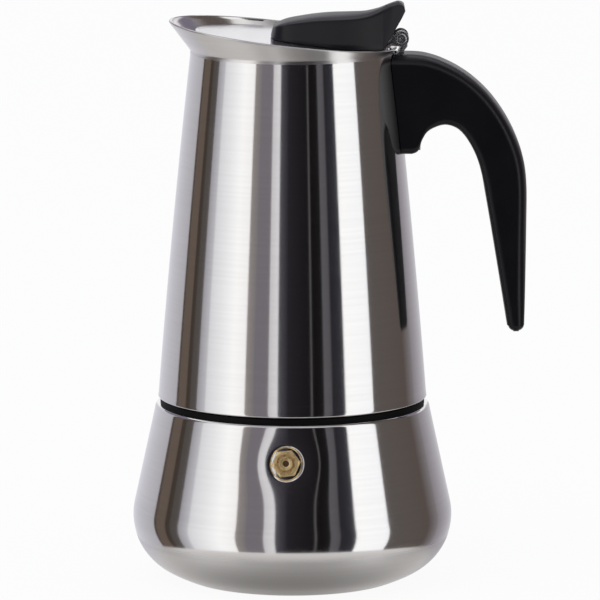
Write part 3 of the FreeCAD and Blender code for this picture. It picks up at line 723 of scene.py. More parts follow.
class Workshop:
    """Makes pieces, gives them finishes and fixes them to bodies."""

    def __init__(self) -> None:
        """Builds the geometry trees."""
        self.lathe = Lathe()
        self.ridge = HelixRidge()
        self.perforation = Perforation()
        self.fixings = Fixings()

    def turned(self, name: str, section: Iterable[Point], material: bpy.types.Material, columns: int = 192,
               focus: float = 1.0, azimuth: float = 0.0) -> bpy.types.Mesh:
        """Turns a closed section about Z.

        Args:
            name: The mesh's name.
            section: The closed section, as radius and height.
            material: The finish.
            columns: How many columns of faces go round.
            focus: Below 1 the columns draw together at the azimuth.
            azimuth: The middle column's direction, in radians.

        Returns:
            The finished mesh.
        """
        mesh = self.lathe.grow(name, section_mesh(section), {
            "Columns": columns, "Focus": focus, "Azimuth": azimuth, "Material": material})
        return finished(mesh)

    def piece(self, name: str, mesh: bpy.types.Mesh, body: str, slot: str, material: bpy.types.Material,
              replaces: Sequence[str] = ()) -> bpy.types.Object:
        """Makes a piece of a mesh.

        Args:
            name: The piece's name.
            mesh: Its mesh, in place.
            body: The body it rides on.
            slot: The record's material slot; not used.
            material: Its finish.
            replaces: The frame's nodes that it stands for.

        Returns:
            The new object.
        """
        mesh.materials.clear()
        mesh.materials.append(material)
        obj = bpy.data.objects.new(name, mesh)
        bpy.context.scene.collection.objects.link(obj)
        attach(obj, body)
        if replaces:
            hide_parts(*replaces)
        LOG.info("%s: %d faces on %s", name, len(mesh.polygons), body)
        return obj

    @staticmethod
    def bevelled(mesh: bpy.types.Mesh, width: float, segments: int = 3, angle: float = 40.0) -> bpy.types.Mesh:
        """Rounds a mesh's sharp edges.

        Args:
            mesh: The mesh.
            width: The rounding's width, in metres.
            segments: Faces across each rounding.
            angle: Edges over this many degrees are rounded.

        Returns:
            A new mesh.
        """
        holder = bpy.data.objects.new("bevel_holder", mesh)
        bpy.context.scene.collection.objects.link(holder)
        bevel = holder.modifiers.new("Bevel", "BEVEL")
        bevel.width, bevel.segments = width, segments
        bevel.limit_method, bevel.angle_limit = "ANGLE", math.radians(angle)
        bevel.harden_normals = False
        graph = bpy.context.evaluated_depsgraph_get()
        result = bpy.data.meshes.new_from_object(holder.evaluated_get(graph))
        bpy.data.objects.remove(holder)
        return finished(result)


def dress(node: str, material: bpy.types.Material) -> None:
    """Gives a carried-over node its finish.

    Args:
        node: The frame's node.
        material: The finish.
    """
    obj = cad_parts[node]
    obj.data.materials.clear()
    obj.data.materials.append(material)
    LOG.info("%s: carried over", node)


# ---- boiler -----------------------------------------------------------------------------------
@dataclass
class ValvePlace:
    """The safety valve's own axis: it leaves the boiler's cone square to the wall."""

    azimuth: float = math.radians(-92.4)
    lean: float = math.radians(12.3)
    height: float = 45.4 * MM
    wall_radius: float = 47.0 * MM

    @property
    def origin(self) -> Vector:
        """The point where the axis leaves the wall."""
        return Vector((self.wall_radius * math.cos(self.azimuth), self.wall_radius * math.sin(self.azimuth),
                       self.height))

    @property
    def matrix(self) -> Matrix:
        """Turns a shape about Z at the origin into one about the valve's axis, outward."""
        tip = Matrix.Rotation(math.pi / 2 - self.lean, 4, "Y")
        return Matrix.Translation(self.origin) @ Matrix.Rotation(self.azimuth, 4, "Z") @ tip


@dataclass
class Boiler:
    """The lower half: foot, belly, cone, shoulder and threaded neck, with a near-black ring in the seam whose colour
    is painted shade of the gap.
    """

    shop: Workshop
    finishes: Palette
    valve: ValvePlace
    belly_arc: float = 19.9 * MM
    belly_arc_height: float = 20.4 * MM
    belly_end: float = -61.7
    under_arc: float = 52.0 * MM
    taper: float = 12.3
    wall: float = 0.8 * MM
    floor: float = 1.0 * MM
    shoulder: float = 57.2 * MM
    shoulder_round: float = 1.2 * MM
    neck_radius: float = 39.6 * MM
    neck_wall: float = 1.0 * MM
    thread_turns: float = 2.75
    thread_pitch: float = 3.0 * MM
    shade_ring_proud: float = 0.55 * MM
    dish_depth: float = 0.8 * MM
    dish_width: float = 8.2 * MM
    seat_radius: float = 6.0 * MM
    seat_depth: float = 0.3 * MM
    seat_slope: float = 1.25 * MM

    def cone_radius(self, height: float, inset: float = 0.0) -> float:
        """The cone's radius at a height, moved in by inset."""
        radius, start = self.belly_point(self.taper, inset)
        return radius - (height - start) * math.tan(math.radians(self.taper))

    def belly_point(self, degrees: float, inset: float = 0.0) -> Point:
        """A point of the belly's arc."""
        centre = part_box("boiler_shell")[1].x - self.belly_arc
        reach, angle = self.belly_arc - inset, math.radians(degrees)
        return centre + reach * math.cos(angle), self.belly_arc_height + reach * math.sin(angle)

    def side(self, inset: float, base: float, steps: int) -> list[Point]:
        """The underside and belly from the foot up to the cone's start.

        Args:
            inset: How far inside the outer surface.
            base: The height where the underside meets the foot.
            steps: Steps along each arc.

        Returns:
            Points from the foot upward.
        """
        belly = self.belly_point(self.belly_end)
        angle = math.radians(self.belly_end)
        centre = (belly[0] - self.under_arc * math.cos(angle), belly[1] - self.under_arc * math.sin(angle))
        reach = self.under_arc - inset
        foot = math.degrees(math.asin((base - centre[1]) / reach))
        under = arc(centre, reach, foot, self.belly_end, steps // 2)
        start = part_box("boiler_shell")[1].x - self.belly_arc
        round_part = arc((start, self.belly_arc_height), self.belly_arc - inset, self.belly_end, self.taper, steps)
        return under + round_part[1:]

    def section(self) -> list[Point]:
        """The shell's closed section, closely stepped where the valve's seat is pressed in."""
        neck_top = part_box("boiler_shell")[1].z
        outer = self.side(0.0, 0.0, 36)
        top = self.cone_radius(self.shoulder)
        lean = math.radians(self.taper)
        turn_in = self.shoulder_round * math.tan((math.pi / 2 - lean) / 2)
        centre = (top - turn_in - self.shoulder_round * math.tan(lean) * 0, self.shoulder - self.shoulder_round)
        centre = (self.cone_radius(centre[1]) - self.shoulder_round / math.cos(lean), centre[1])
        low, high = 33.0 * MM, 56.0 * MM
        cone = line(outer[-1], (self.cone_radius(low), low), 10) + line(
            (self.cone_radius(low), low), (self.cone_radius(high - 0.6 * MM), high - 0.6 * MM), 110)
        rim = arc(centre, self.shoulder_round, self.taper, 90, 8)
        r, w = self.neck_radius, self.neck_wall
        ceiling = self.shoulder - self.wall
        inner = self.side(self.wall, self.floor, 18)
        return ([(0.0, 0.0)] + line((0.010, 0.0), (outer[0][0], 0.0), 3) + outer + cone + rim
                + [(r + 0.6 * MM, self.shoulder), (r + 0.1 * MM, self.shoulder + 0.2 * MM),
                   (r, self.shoulder + 0.7 * MM), (r, neck_top - 0.4 * MM), (r - 0.3 * MM, neck_top),
                   (r - w + 0.3 * MM, neck_top), (r - w, neck_top - 0.3 * MM), (r - w, ceiling),
                   (self.cone_radius(ceiling, self.wall), ceiling)] + inner[::-1] + [(0.0, self.floor)])

    def press_seat(self, mesh: bpy.types.Mesh) -> None:
        """Presses the valve's dish and its flat seat into the wall.

        Args:
            mesh: The shell's mesh, changed in place.
        """
        inward = self.valve.matrix.to_3x3() @ Vector((0, 0, -1))
        co = np.zeros(len(mesh.vertices) * 3)
        mesh.vertices.foreach_get("co", co)
        co = co.reshape(-1, 3)
        rel = co - np.array(self.valve.origin)
        axial = rel @ np.array(inward)
        reach = np.linalg.norm(rel - axial[:, None] * np.array(inward), axis=1)
        near = (axial < 12 * MM) & (axial > -3 * MM) & (reach < 24 * MM)
        depth = self.dish_depth * np.exp(-(reach / self.dish_width) ** 2)
        edge = np.clip((self.seat_radius - reach) / self.seat_slope, 0, 1)
        edge = edge ** 1.7
        inner, wall = self.seat_radius - self.seat_slope, self.valve.wall_radius
        across = rel @ np.array((-math.sin(self.valve.azimuth), math.cos(self.valve.azimuth), 0.0))
        curve = wall - np.sqrt(np.maximum(wall ** 2 - across ** 2, 0))
        flat = (self.dish_depth * math.exp(-(inner / self.dish_width) ** 2) + self.seat_depth
                + inner ** 2 / (2 * wall))
        depth = depth * (1 - edge) + (flat - curve) * edge
        co[near] += np.array(inward) * depth[near][:, None]
        mesh.vertices.foreach_set("co", co.reshape(-1))
        mesh.update()

    def build(self) -> None:
        """Makes the shell, its thread and the near-black seam ring, whose colour is painted shade of the gap between
        the halves.
        """
        steel = self.finishes.polished
        mesh = self.shop.turned("boiler_body", self.section(), steel, 320, 0.2, self.valve.azimuth)
        self.press_seat(mesh)
        self.shop.piece("boiler_body", finished(mesh), "boiler", "polished_steel", steel, ["boiler_shell"])
        neck_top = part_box("boiler_shell")[1].z
        bottom = neck_top - 1.5 * MM - self.thread_pitch * self.thread_turns
        ridge = self.shop.ridge.grow("neck_thread", point_mesh([(0, 0, bottom)]), {
            "Turns": self.thread_turns, "Pitch": self.thread_pitch, "Radius": self.neck_radius + 0.35 * MM,
            "Root Width": 1.6 * MM, "Crest Width": 0.8 * MM, "Depth": 1.1 * MM, "Material": steel})
        self.shop.piece("neck_thread", finished(ridge), "boiler", "polished_steel", steel)
        # A near-black ring standing proud in the seam: painted shade of the gap between the two halves.
        lo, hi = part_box("seam_seal")
        inner, r = self.neck_radius + 0.3 * MM, 0.35 * MM
        reach = hi.x + self.shade_ring_proud
        ring = ([(inner, lo.z), (reach, lo.z)] + arc((reach - r, hi.z - r), r, 0, 90, 5) + [(inner, hi.z)])
        shade_ring = self.shop.turned("seam_ring", ring, self.finishes.black_silicone, 160)
        self.shop.piece("seam_ring", shade_ring, "boiler", "black_silicone", self.finishes.black_silicone, ["seam_seal"])


# ---- upper chamber ----------------------------------------------------------------------------
@dataclass
class UpperChamber:
    """The upper half: bowed cone, pouring collar, threaded ring, floor, riser and cap."""

    shop: Workshop
    finishes: Palette
    bottom_radius: float = 43.7 * MM
    top_radius: float = 32.9 * MM
    bow: float = 0.48 * MM
    wall: float = 0.8 * MM
    foot_round: float = 0.5 * MM
    rim_offset: float = -3.15 * MM
    rim_half_length: float = 36.95 * MM
    rim_half_width: float = 34.4 * MM
    rim_rise: float = 4.9 * MM
    rim_slope: float = 0.116
    ring_inset: float = 1.0 * MM

    @property
    def bottom(self) -> float:
        """Height of the shell's lower edge."""
        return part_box("upper_shell")[0].z

    @property
    def top(self) -> float:
        """Height where the collar starts."""
        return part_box("upper_shell")[1].z

    def radius(self, height: float, inset: float = 0.0) -> float:
        """The bowed wall's radius at a height, moved in by inset."""
        share = (height - self.bottom) / (self.top - self.bottom)
        straight = self.bottom_radius + (self.top_radius - self.bottom_radius) * share
        return straight + 4 * self.bow * share * (1 - share) - inset

    def shell_section(self) -> list[Point]:
        """The shell's closed section with a rounded lower edge."""
        r, low = self.foot_round, self.bottom
        edge = self.radius(low)
        heights = np.linspace(low + r, self.top, 90)
        outer = [(self.radius(z), z) for z in heights]
        inner = [(self.radius(z, self.wall), z) for z in heights[::-6]]
        foot = arc((edge - r, low + r), r, -90, -8, 6)
        return [(edge - self.wall, low + 0.1 * MM), (edge - self.wall + 0.1 * MM, low)] + foot + outer + inner

    def collar_rows(self, columns: int = 288) -> np.ndarray:
        """Rows around the collar, from its foot outside, over the rim and down inside."""
        turn = np.linspace(0, 2 * math.pi, columns, endpoint=False)
        out = np.stack([np.cos(turn), np.sin(turn)], 1)
        foot = np.column_stack([out * self.top_radius, np.full(columns, self.top)])
        x = self.rim_offset + self.rim_half_length * out[:, 0]
        rim = np.column_stack([x, self.rim_half_width * out[:, 1], self.top + self.rim_rise - self.rim_slope * x])
        lean = (self.radius(self.top - 1 * MM) - self.top_radius) / (1 * MM)
        rows = []

        def wall_row(share: float, inset: float) -> np.ndarray:
            """One row of the wall, moved in by inset."""
            point = foot + (rim - foot) * share
            ease = lean * 0.55 * MM * 2 * max(0.0, 1 - share / 0.3) ** 2 * share
            point = point.copy()
            point[:, :2] -= out * (inset + ease)
            return point

        skirt = foot.copy()
        skirt[:, 2] -= 0.9 * MM
        skirt[:, :2] += out * lean * 0.9 * MM
        half = self.wall / 2
        rows.append(skirt + np.column_stack([out * 0.01 * MM, np.zeros(columns)]))
        rows.extend(wall_row(s, 0.0) for s in np.linspace(0, 0.94, 18) ** 1.1)
        for a in np.radians(np.linspace(0, 180, 9)):
            row = wall_row(0.955, half - half * 1.12 * math.cos(a))
            row[:, 2] += 0.05 * (rim - foot)[:, 2] + half * 0.9 * math.sin(a) - half * 0.9
            rows.append(row)
        rows.extend(wall_row(s, self.wall) for s in np.linspace(0.94, 0, 12))
        inside = skirt.copy()
        inside[:, :2] -= out * self.wall
        rows.append(inside)
        return np.stack(rows)

    def build(self) -> None:
        """Makes the shell, the collar and the pieces inside."""
        steel = self.finishes.polished
        shell = self.shop.turned("chamber_wall", self.shell_section(), steel, 288)
        self.shop.piece("chamber_wall", shell, "upper_chamber", "polished_steel", steel, ["upper_shell"])
        collar = finished(lattice("pouring_flare", self.collar_rows()), 50)
        layer = collar.attributes.new("inside", "FLOAT", "POINT")
        for vertex, item in zip(collar.vertices, layer.data):
            item.value = float(vertex.normal.x * vertex.co.x + vertex.normal.y * vertex.co.y < 0)
        self.shop.piece("pouring_flare", collar, "upper_chamber", "satin_steel", self.finishes.collar,
                        ["pouring_collar"])
        for node in ("threaded_ring", "chamber_floor", "riser_tube", "riser_cap"):
            dress(node, self.finishes.inner)


# ---- lid and knob -----------------------------------------------------------------------------
@dataclass
class Lid:
    """The lid's disc with its knob, knob screws and the hinge's leaf and pin."""

    shop: Workshop
    finishes: Palette
    slope: float = 0.10
    centre: tuple[float, float, float] = (0.1 * MM, 0.0, 176.05 * MM)
    radius: float = 31.6 * MM
    thickness: float = 0.8 * MM
    lip_depth: float = 0.6 * MM
    lip_width: float = 0.8 * MM
    edge_round: float = 0.3 * MM
    knob_nose: float = -4.0
    pin_radius: float = 1.2 * MM
    pin_head: float = 0.7 * MM
    knob_outline: tuple[Point, ...] = ((-7.1, 3.4), (-6.6, 3.9), (-5.6, 4.5), (-4.2, 5.2), (-1.8, 6.2), (1.7, 7.2),
                                       (6.2, 8.35), (11.2, 9.3), (17.5, 10.2), (22.4, 11.1), (26.4, 12.6),
                                       (29.5, 14.3), (32.2, 15.5), (33.5, 15.5), (34.5, 14.95), (35.0, 14.1),
                                       (35.1, 13.4))
    knob_plan: tuple[Point, ...] = ((-7.1, 0.0), (-6.7, 4.4), (-5.6, 8.0), (-2.3, 11.4), (4.0, 13.6), (14.5, 15.6),
                                    (24.0, 13.4), (35.1, 7.5))
    knob_foot: tuple[Point, ...] = ((29.3, 0.0), (33.7, 9.5), (34.5, 11.3), (34.9, 12.4), (35.1, 13.3))
    knob_lean: float = 27.0
    knob_shoulder: float = 0.86

    @property
    def matrix(self) -> Matrix:
        """Puts a shape drawn flat at the origin in the lid's tilted plane."""
        return Matrix.Translation(Vector(self.centre)) @ Matrix.Rotation(math.atan(self.slope), 4, "Y")

    def placed(self, mesh: bpy.types.Mesh) -> bpy.types.Mesh:
        """The mesh moved into the lid's plane."""
        mesh.transform(self.matrix)
        return mesh

    def disc_section(self) -> list[Point]:
        """The disc's closed section with its turned-down lip."""
        r, t, e = self.radius, self.thickness, self.edge_round
        lip = r - self.lip_width
        return ([(0.0, -t)] + line((0.004, -t), (lip - 0.2 * MM, -t), 6) + [(lip, -t - 0.2 * MM), (lip, -t - self.lip_depth)]
                + [(lip + 0.15 * MM, -t - self.lip_depth - 0.0), (r - 0.15 * MM, -t - self.lip_depth), (r, -t - self.lip_depth + 0.15 * MM)]
                + arc((r - e, -e), e, 0, 90, 6) + line((r - 1.5 * MM, 0.0), (0.004, 0.0), 12) + [(0.0, 0.0)])

    def knob_heights(self, x: np.ndarray) -> tuple[np.ndarray, np.ndarray]:
        """Bottom and top of the knob along its length.

        Args:
            x: Places along the knob, in the lid's plane.

        Returns:
            Heights of the underside and of the top, the second never below the first.
        """
        path = smooth_path(self.knob_outline, 240) * MM
        order = np.argsort(path[:, 0])
        top = np.interp(x, path[order, 0], path[order, 1])
        foot = np.array(self.knob_foot) * MM
        bottom = np.interp(x, foot[:, 0], foot[:, 1])
        return bottom, np.maximum(top, bottom + 0.02 * MM)

    def knob_ring(self, loop: np.ndarray, base: np.ndarray, share: float) -> np.ndarray:
        """One ring of the knob's leaning side or crowned top.

        Args:
            loop: The plan's outline.
            base: Height where the side starts, at each point of the outline.
            share: How far up the ring is: to 0.5 on the side, then over the crest to 1 at the middle.

        Returns:
            The ring's points.
        """
        half = np.maximum(np.abs(loop[:, 1]), 1e-9)
        _, top = self.knob_heights(loop[:, 0])
        rise = np.maximum(top - base, 0)
        inset = np.minimum(rise * math.tan(math.radians(self.knob_lean)), 0.58 * half)
        side = np.column_stack([half - self.knob_shoulder * inset, base + self.knob_shoulder * rise])
        corner = np.column_stack([half - inset, base + rise])
        crest = np.column_stack([np.zeros_like(half), base + rise])
        if share <= 0.5:
            start = np.column_stack([half, base])
            at = start + (side - start) * share * 2
        else:
            t = share * 2 - 1
            at = side * (1 - t) ** 2 + corner * 2 * t * (1 - t) + crest * t * t
        inward = at[:, 0] / half
        x = loop[:, 0] + (1 - inward) * np.maximum(0, self.knob_nose * MM - loop[:, 0]) * 0.2
        return np.column_stack([x, loop[:, 1] * inward, at[:, 1]])

    def knob_mesh(self) -> bpy.types.Mesh:
        """The knob as rings that follow its plan: up the side, round the edge and in over the top."""
        half = smooth_path(self.knob_plan, 110) * MM
        back = np.column_stack([np.full(12, half[-1, 0]), np.linspace(half[-1, 1], 0, 12)])[1:]
        right = np.vstack([half, back])
        loop = np.vstack([right, (right * (1, -1))[-2:0:-1]])
        step = np.roll(loop, -1, 0) - np.roll(loop, 1, 0)
        normal = np.column_stack([-step[:, 1], step[:, 0]])
        normal /= np.linalg.norm(normal, axis=1)[:, None]
        if np.sum(normal * (loop - loop.mean(0))) > 0:
            normal = -normal
        low, high = self.knob_heights(loop[:, 0])
        foot = np.minimum(0.5 * MM, 0.3 * (high - low))
        rings = []
        for a in np.radians(np.linspace(90, 0, 4)):
            moved = loop + normal * (foot * (1 - math.cos(a)))[:, None]
            rings.append(np.column_stack([moved, low + foot * (1 - math.sin(a))]))
        shares = (*np.linspace(0.08, 0.5, 6), *np.linspace(0.5, 1.0, 20)[1:])
        rings.extend(self.knob_ring(loop, low + foot, share) for share in shares)
        rows = np.stack(rings)
        mesh = lattice("knob", rows, closed=False, capped=False)
        work = bmesh.new()
        work.from_mesh(mesh)
        bmesh.ops.remove_doubles(work, verts=work.verts, dist=2e-5)
        bmesh.ops.holes_fill(work, edges=[e for e in work.edges if e.is_boundary])
        work.to_mesh(mesh)
        work.free()
        return finished(mesh, 50)

    def pin_mesh(self) -> bpy.types.Mesh:
        """The hinge's rivet: a pin with a domed, dimpled head at each end."""
        low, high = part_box("hinge_pin")
        middle, half = (low + high) / 2, (high.y - low.y) / 2
        head, pin, thick = (high.z - low.z) / 2, self.pin_radius, self.pin_head
        end = [(0.0, half - 0.25 * MM), (0.35 * MM, half - 0.25 * MM), (0.55 * MM, half),
               (head - 0.45 * MM, half)] + arc((head - 0.35 * MM, half - 0.35 * MM), 0.35 * MM, 80, 0, 5)
        side = end + [(head, half - thick), (pin, half - thick - 0.02 * MM)]
        section = side + [(r, -z) for r, z in side[::-1]]
        mesh = self.shop.turned("rivet", section, self.finishes.bright, 48)
        mesh.transform(Matrix.Translation(middle) @ Matrix.Rotation(math.pi / 2, 4, "X"))
        return mesh

    def build(self) -> None:
        """Makes the lid, the knob and the hinge pieces that ride on it."""
        disc = self.placed(self.shop.turned("lid_plate", self.disc_section(), self.finishes.lid, 256))
        self.shop.piece("lid_plate", disc, "lid", "lid_steel", self.finishes.lid, ["lid_disc"])
        knob = self.placed(self.knob_mesh())
        self.shop.piece("knob_moulding", knob, "lid", "black_plastic", self.finishes.plastic, ["lid_knob"])
        leaf = self.shop.bevelled(merged_copy("hinge_leaf"), 0.08 * MM, 2)
        self.shop.piece("hinge_leaf_formed", leaf, "lid", "satin_steel", self.finishes.bright, ["hinge_leaf"])
        self.shop.piece("hinge_rivet", self.pin_mesh(), "lid", "bright_fixings", self.finishes.bright, ["hinge_pin"])
        for node in ("knob_screw_front", "knob_screw_back", "knob_washer_front", "knob_washer_back"):
            dress(node, self.finishes.bright)


def merged_copy(node: str, flat: float = 1.0) -> bpy.types.Mesh:
    """A node's mesh as one skin, with faces that lie within an angle of each other made whole."""
    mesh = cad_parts[node].data.copy()
    work = bmesh.new()
    work.from_mesh(mesh)
    bmesh.ops.remove_doubles(work, verts=work.verts, dist=2e-6)
    if flat:
        bmesh.ops.dissolve_limit(work, angle_limit=math.radians(flat), verts=work.verts, edges=work.edges)
    work.to_mesh(mesh)
    work.free()
    return mesh


# ---- handle -----------------------------------------------------------------------------------
@dataclass
class Handle:
    """The arched grip, with its strap, bracket and screw."""

    shop: Workshop
    finishes: Palette
    chamber: UpperChamber
    top: float = 171.7
    tail_length: float = 92.0
    root_width: float = 20.6
    tail_width: float = 13.0
    side_bow: float = 1.0
    edge: float = 2.3
    back_edge: float = 3.3
    back_side_edge: float = 6.0
    wall_gap: float = 0.15
    lower_edge: tuple[Point, ...] = ((38.6, 139.6), (40.2, 140.2), (41.1, 141.6), (41.9, 144.2), (44.0, 147.2),
                                     (48.6, 149.1), (52.5, 148.3), (55.5, 145.7), (58.3, 141.2), (60.2, 136.5),
                                     (61.5, 131.3), (62.4, 126.3), (64.3, 115.5), (66.4, 103.0), (68.4, 91.0),
                                     (70.0, 81.1))
    outer_edge: tuple[Point, ...] = ((38.4, 171.6), (40.4, 171.5), (42.6, 171.2), (45.0, 170.6), (48.2, 169.5),
                                     (53.3, 167.0), (58.8, 163.2), (64.2, 157.9), (68.9, 151.3), (72.5, 144.1),
                                     (74.8, 136.9), (75.75, 128.8), (75.8, 117.0), (75.65, 103.8), (75.45, 91.3),
                                     (75.2, 81.1))
    slot_half_width: float = 3.6
    slot_back: float = 36.1
    slot_bottom: float = 164.1

    def half_width(self, height: np.ndarray) -> np.ndarray:
        """Half the handle's width at a height, in millimetres."""
        share = np.clip((self.top + 1 - height) / (self.tail_length + 2), 0, 1)
        straight = self.root_width / 2 + (self.tail_width - self.root_width) / 2 * share
        return straight + 4 * self.side_bow * share * (1 - share)

    def ring(self, inner: np.ndarray, outer: np.ndarray, inset: float = 0.0) -> np.ndarray:
        """One rounded cross-section between two points of the side view, in millimetres.

        Args:
            inner: The finger side's point, as x and z.
            outer: The back's point, as x and z.
            inset: How far the section is drawn in all round.

        Returns:
            Points round the section, as x, y and z.
        """
        span = np.linalg.norm(outer - inner)
        way = (outer - inner) / span
        points = []
        for low, high, sign in ((0, 90, 1), (90, 180, 1), (180, 270, -1), (270, 360, -1)):
            at_back = low in (0, 270)
            deep = min(self.back_edge if at_back else self.edge, 0.45 * span - inset * 0.5)
            wide = min(self.back_side_edge if at_back else self.edge, 0.55 * span)
            for a in np.radians(np.linspace(low, high, 9)):
                along = (span - inset - deep if at_back else inset + deep) + deep * math.cos(a)
                height = inner[1] + way[1] * along
                side = sign * (self.half_width(height) - inset - wide) + wide * math.sin(a)
                points.append((inner[0] + way[0] * along, side, height))
        return np.array(points)

    def filled(self, ring: np.ndarray) -> np.ndarray:
        """A section with extra points along its four straight runs."""
        out: list[np.ndarray] = []
        for i in range(len(ring)):
            a, b = ring[i], ring[(i + 1) % len(ring)]
            out.append(a)
            if i % 9 == 8:
                count = 7 if (i // 9) % 2 == 0 else 5
                for t in np.linspace(0, 1, count + 1, endpoint=False)[1:]:
                    p = a + (b - a) * t
                    out.append(p)
        return np.array(out)

    def grip_mesh(self) -> bpy.types.Mesh:
        """The grip, from the chamber's wall to the rounded end of its tail."""
        both = smooth_path([(*i, *o) for i, o in zip(self.lower_edge, self.outer_edge)], 96)
        bottom, top = np.array((0.0, self.lower_edge[0][1])), np.array((0.0, self.top))
        wall = self.filled(self.ring(bottom, top))
        radius = np.array([self.chamber.radius(z * MM) / MM for z in wall[:, 2]]) + self.wall_gap
        wall[:, 0] = np.sqrt(np.maximum(radius ** 2 - wall[:, 1] ** 2, 0))
        first = self.filled(self.ring(both[0, :2], both[0, 2:]))
        rows = [wall]
        for t in (0.12, 0.3, 0.5, 0.72, 0.88):
            row = wall + (first - wall) * t
            rows.append(row)
        rows.extend(self.filled(self.ring(r[:2], r[2:])) for r in both[:-2])
        last = both[-1]
        for a in np.radians(np.linspace(0, 90, 9)):
            drop = self.edge * (1 - math.sin(a))
            share = np.array((last[0], last[1] + drop)), np.array((last[2], last[3] + drop))
            rows.append(self.filled(self.ring(share[0], share[1], self.edge * (1 - math.cos(a)))))
        mesh = lattice("grip", np.stack(rows) * MM, closed=False)
        return finished(mesh, 45)

    def cutter(self, low: Sequence[float], high: Sequence[float]) -> bpy.types.Object:
        """A box that cuts a slot, between two corners in millimetres."""
        work = bmesh.new()
        bmesh.ops.create_cube(work, size=1.0)
        size, middle = Vector(high) - Vector(low), (Vector(high) + Vector(low)) / 2
        bmesh.ops.scale(work, vec=size, verts=work.verts)
        bmesh.ops.translate(work, vec=middle, verts=work.verts)
        bmesh.ops.scale(work, vec=(MM, MM, MM), verts=work.verts)
        mesh = bpy.data.meshes.new("cutter")
        work.to_mesh(mesh)
        work.free()
        obj = bpy.data.objects.new("cutter", mesh)
        bpy.context.scene.collection.objects.link(obj)
        return obj

    def drill(self) -> bpy.types.Object:
        """A cylinder that cuts the fixing screw's recess from below."""
        low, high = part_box("handle_screw_washer")
        radius, middle = (high.x - low.x) / 2 + 0.25 * MM, (high.x + low.x) / 2
        bottom = low.z - 12 * MM
        work = bmesh.new()
        bmesh.ops.create_cone(work, cap_ends=True, segments=48, radius1=radius, radius2=radius, depth=high.z - bottom)
        bmesh.ops.translate(work, vec=(middle, 0.0, (high.z + bottom) / 2), verts=work.verts)
        mesh = bpy.data.meshes.new("drill")
        work.to_mesh(mesh)
        work.free()
        obj = bpy.data.objects.new("drill", mesh)
        bpy.context.scene.collection.objects.link(obj)
        return obj

    def slotted(self, mesh: bpy.types.Mesh) -> bpy.types.Mesh:
        """The grip with the strap's slot and the screw's recess cut out."""
        half = self.slot_half_width
        slot = self.cutter((20, -half, self.slot_bottom), (self.slot_back, half, self.top + 3))
        holder = bpy.data.objects.new("grip_holder", mesh)
        bpy.context.scene.collection.objects.link(holder)
        drill = self.drill()
        for tool in (slot, drill):
            cut = holder.modifiers.new("Cut", "BOOLEAN")
            cut.object, cut.solver, cut.operation = tool, "EXACT", "DIFFERENCE"
        graph = bpy.context.evaluated_depsgraph_get()
        result = bpy.data.meshes.new_from_object(holder.evaluated_get(graph))
        for obj in (holder, slot, drill):
            bpy.data.objects.remove(obj)
        return finished(result, 40)

    def build(self) -> None:
        """Makes the grip and dresses its fixings."""
        grip = self.slotted(self.grip_mesh())
        self.shop.piece("grip_moulding", grip, "upper_chamber", "black_plastic", self.finishes.plastic,
                        ["handle_grip"])
        strap = self.shop.bevelled(merged_copy("hinge_strap"), 0.08 * MM, 2)
        self.shop.piece("hinge_strap_formed", strap, "upper_chamber", "satin_steel", self.finishes.bright,
                        ["hinge_strap"])
        dress("handle_bracket", self.finishes.inner)
        for node in ("handle_screw", "handle_screw_washer"):
            dress(node, self.finishes.bright)


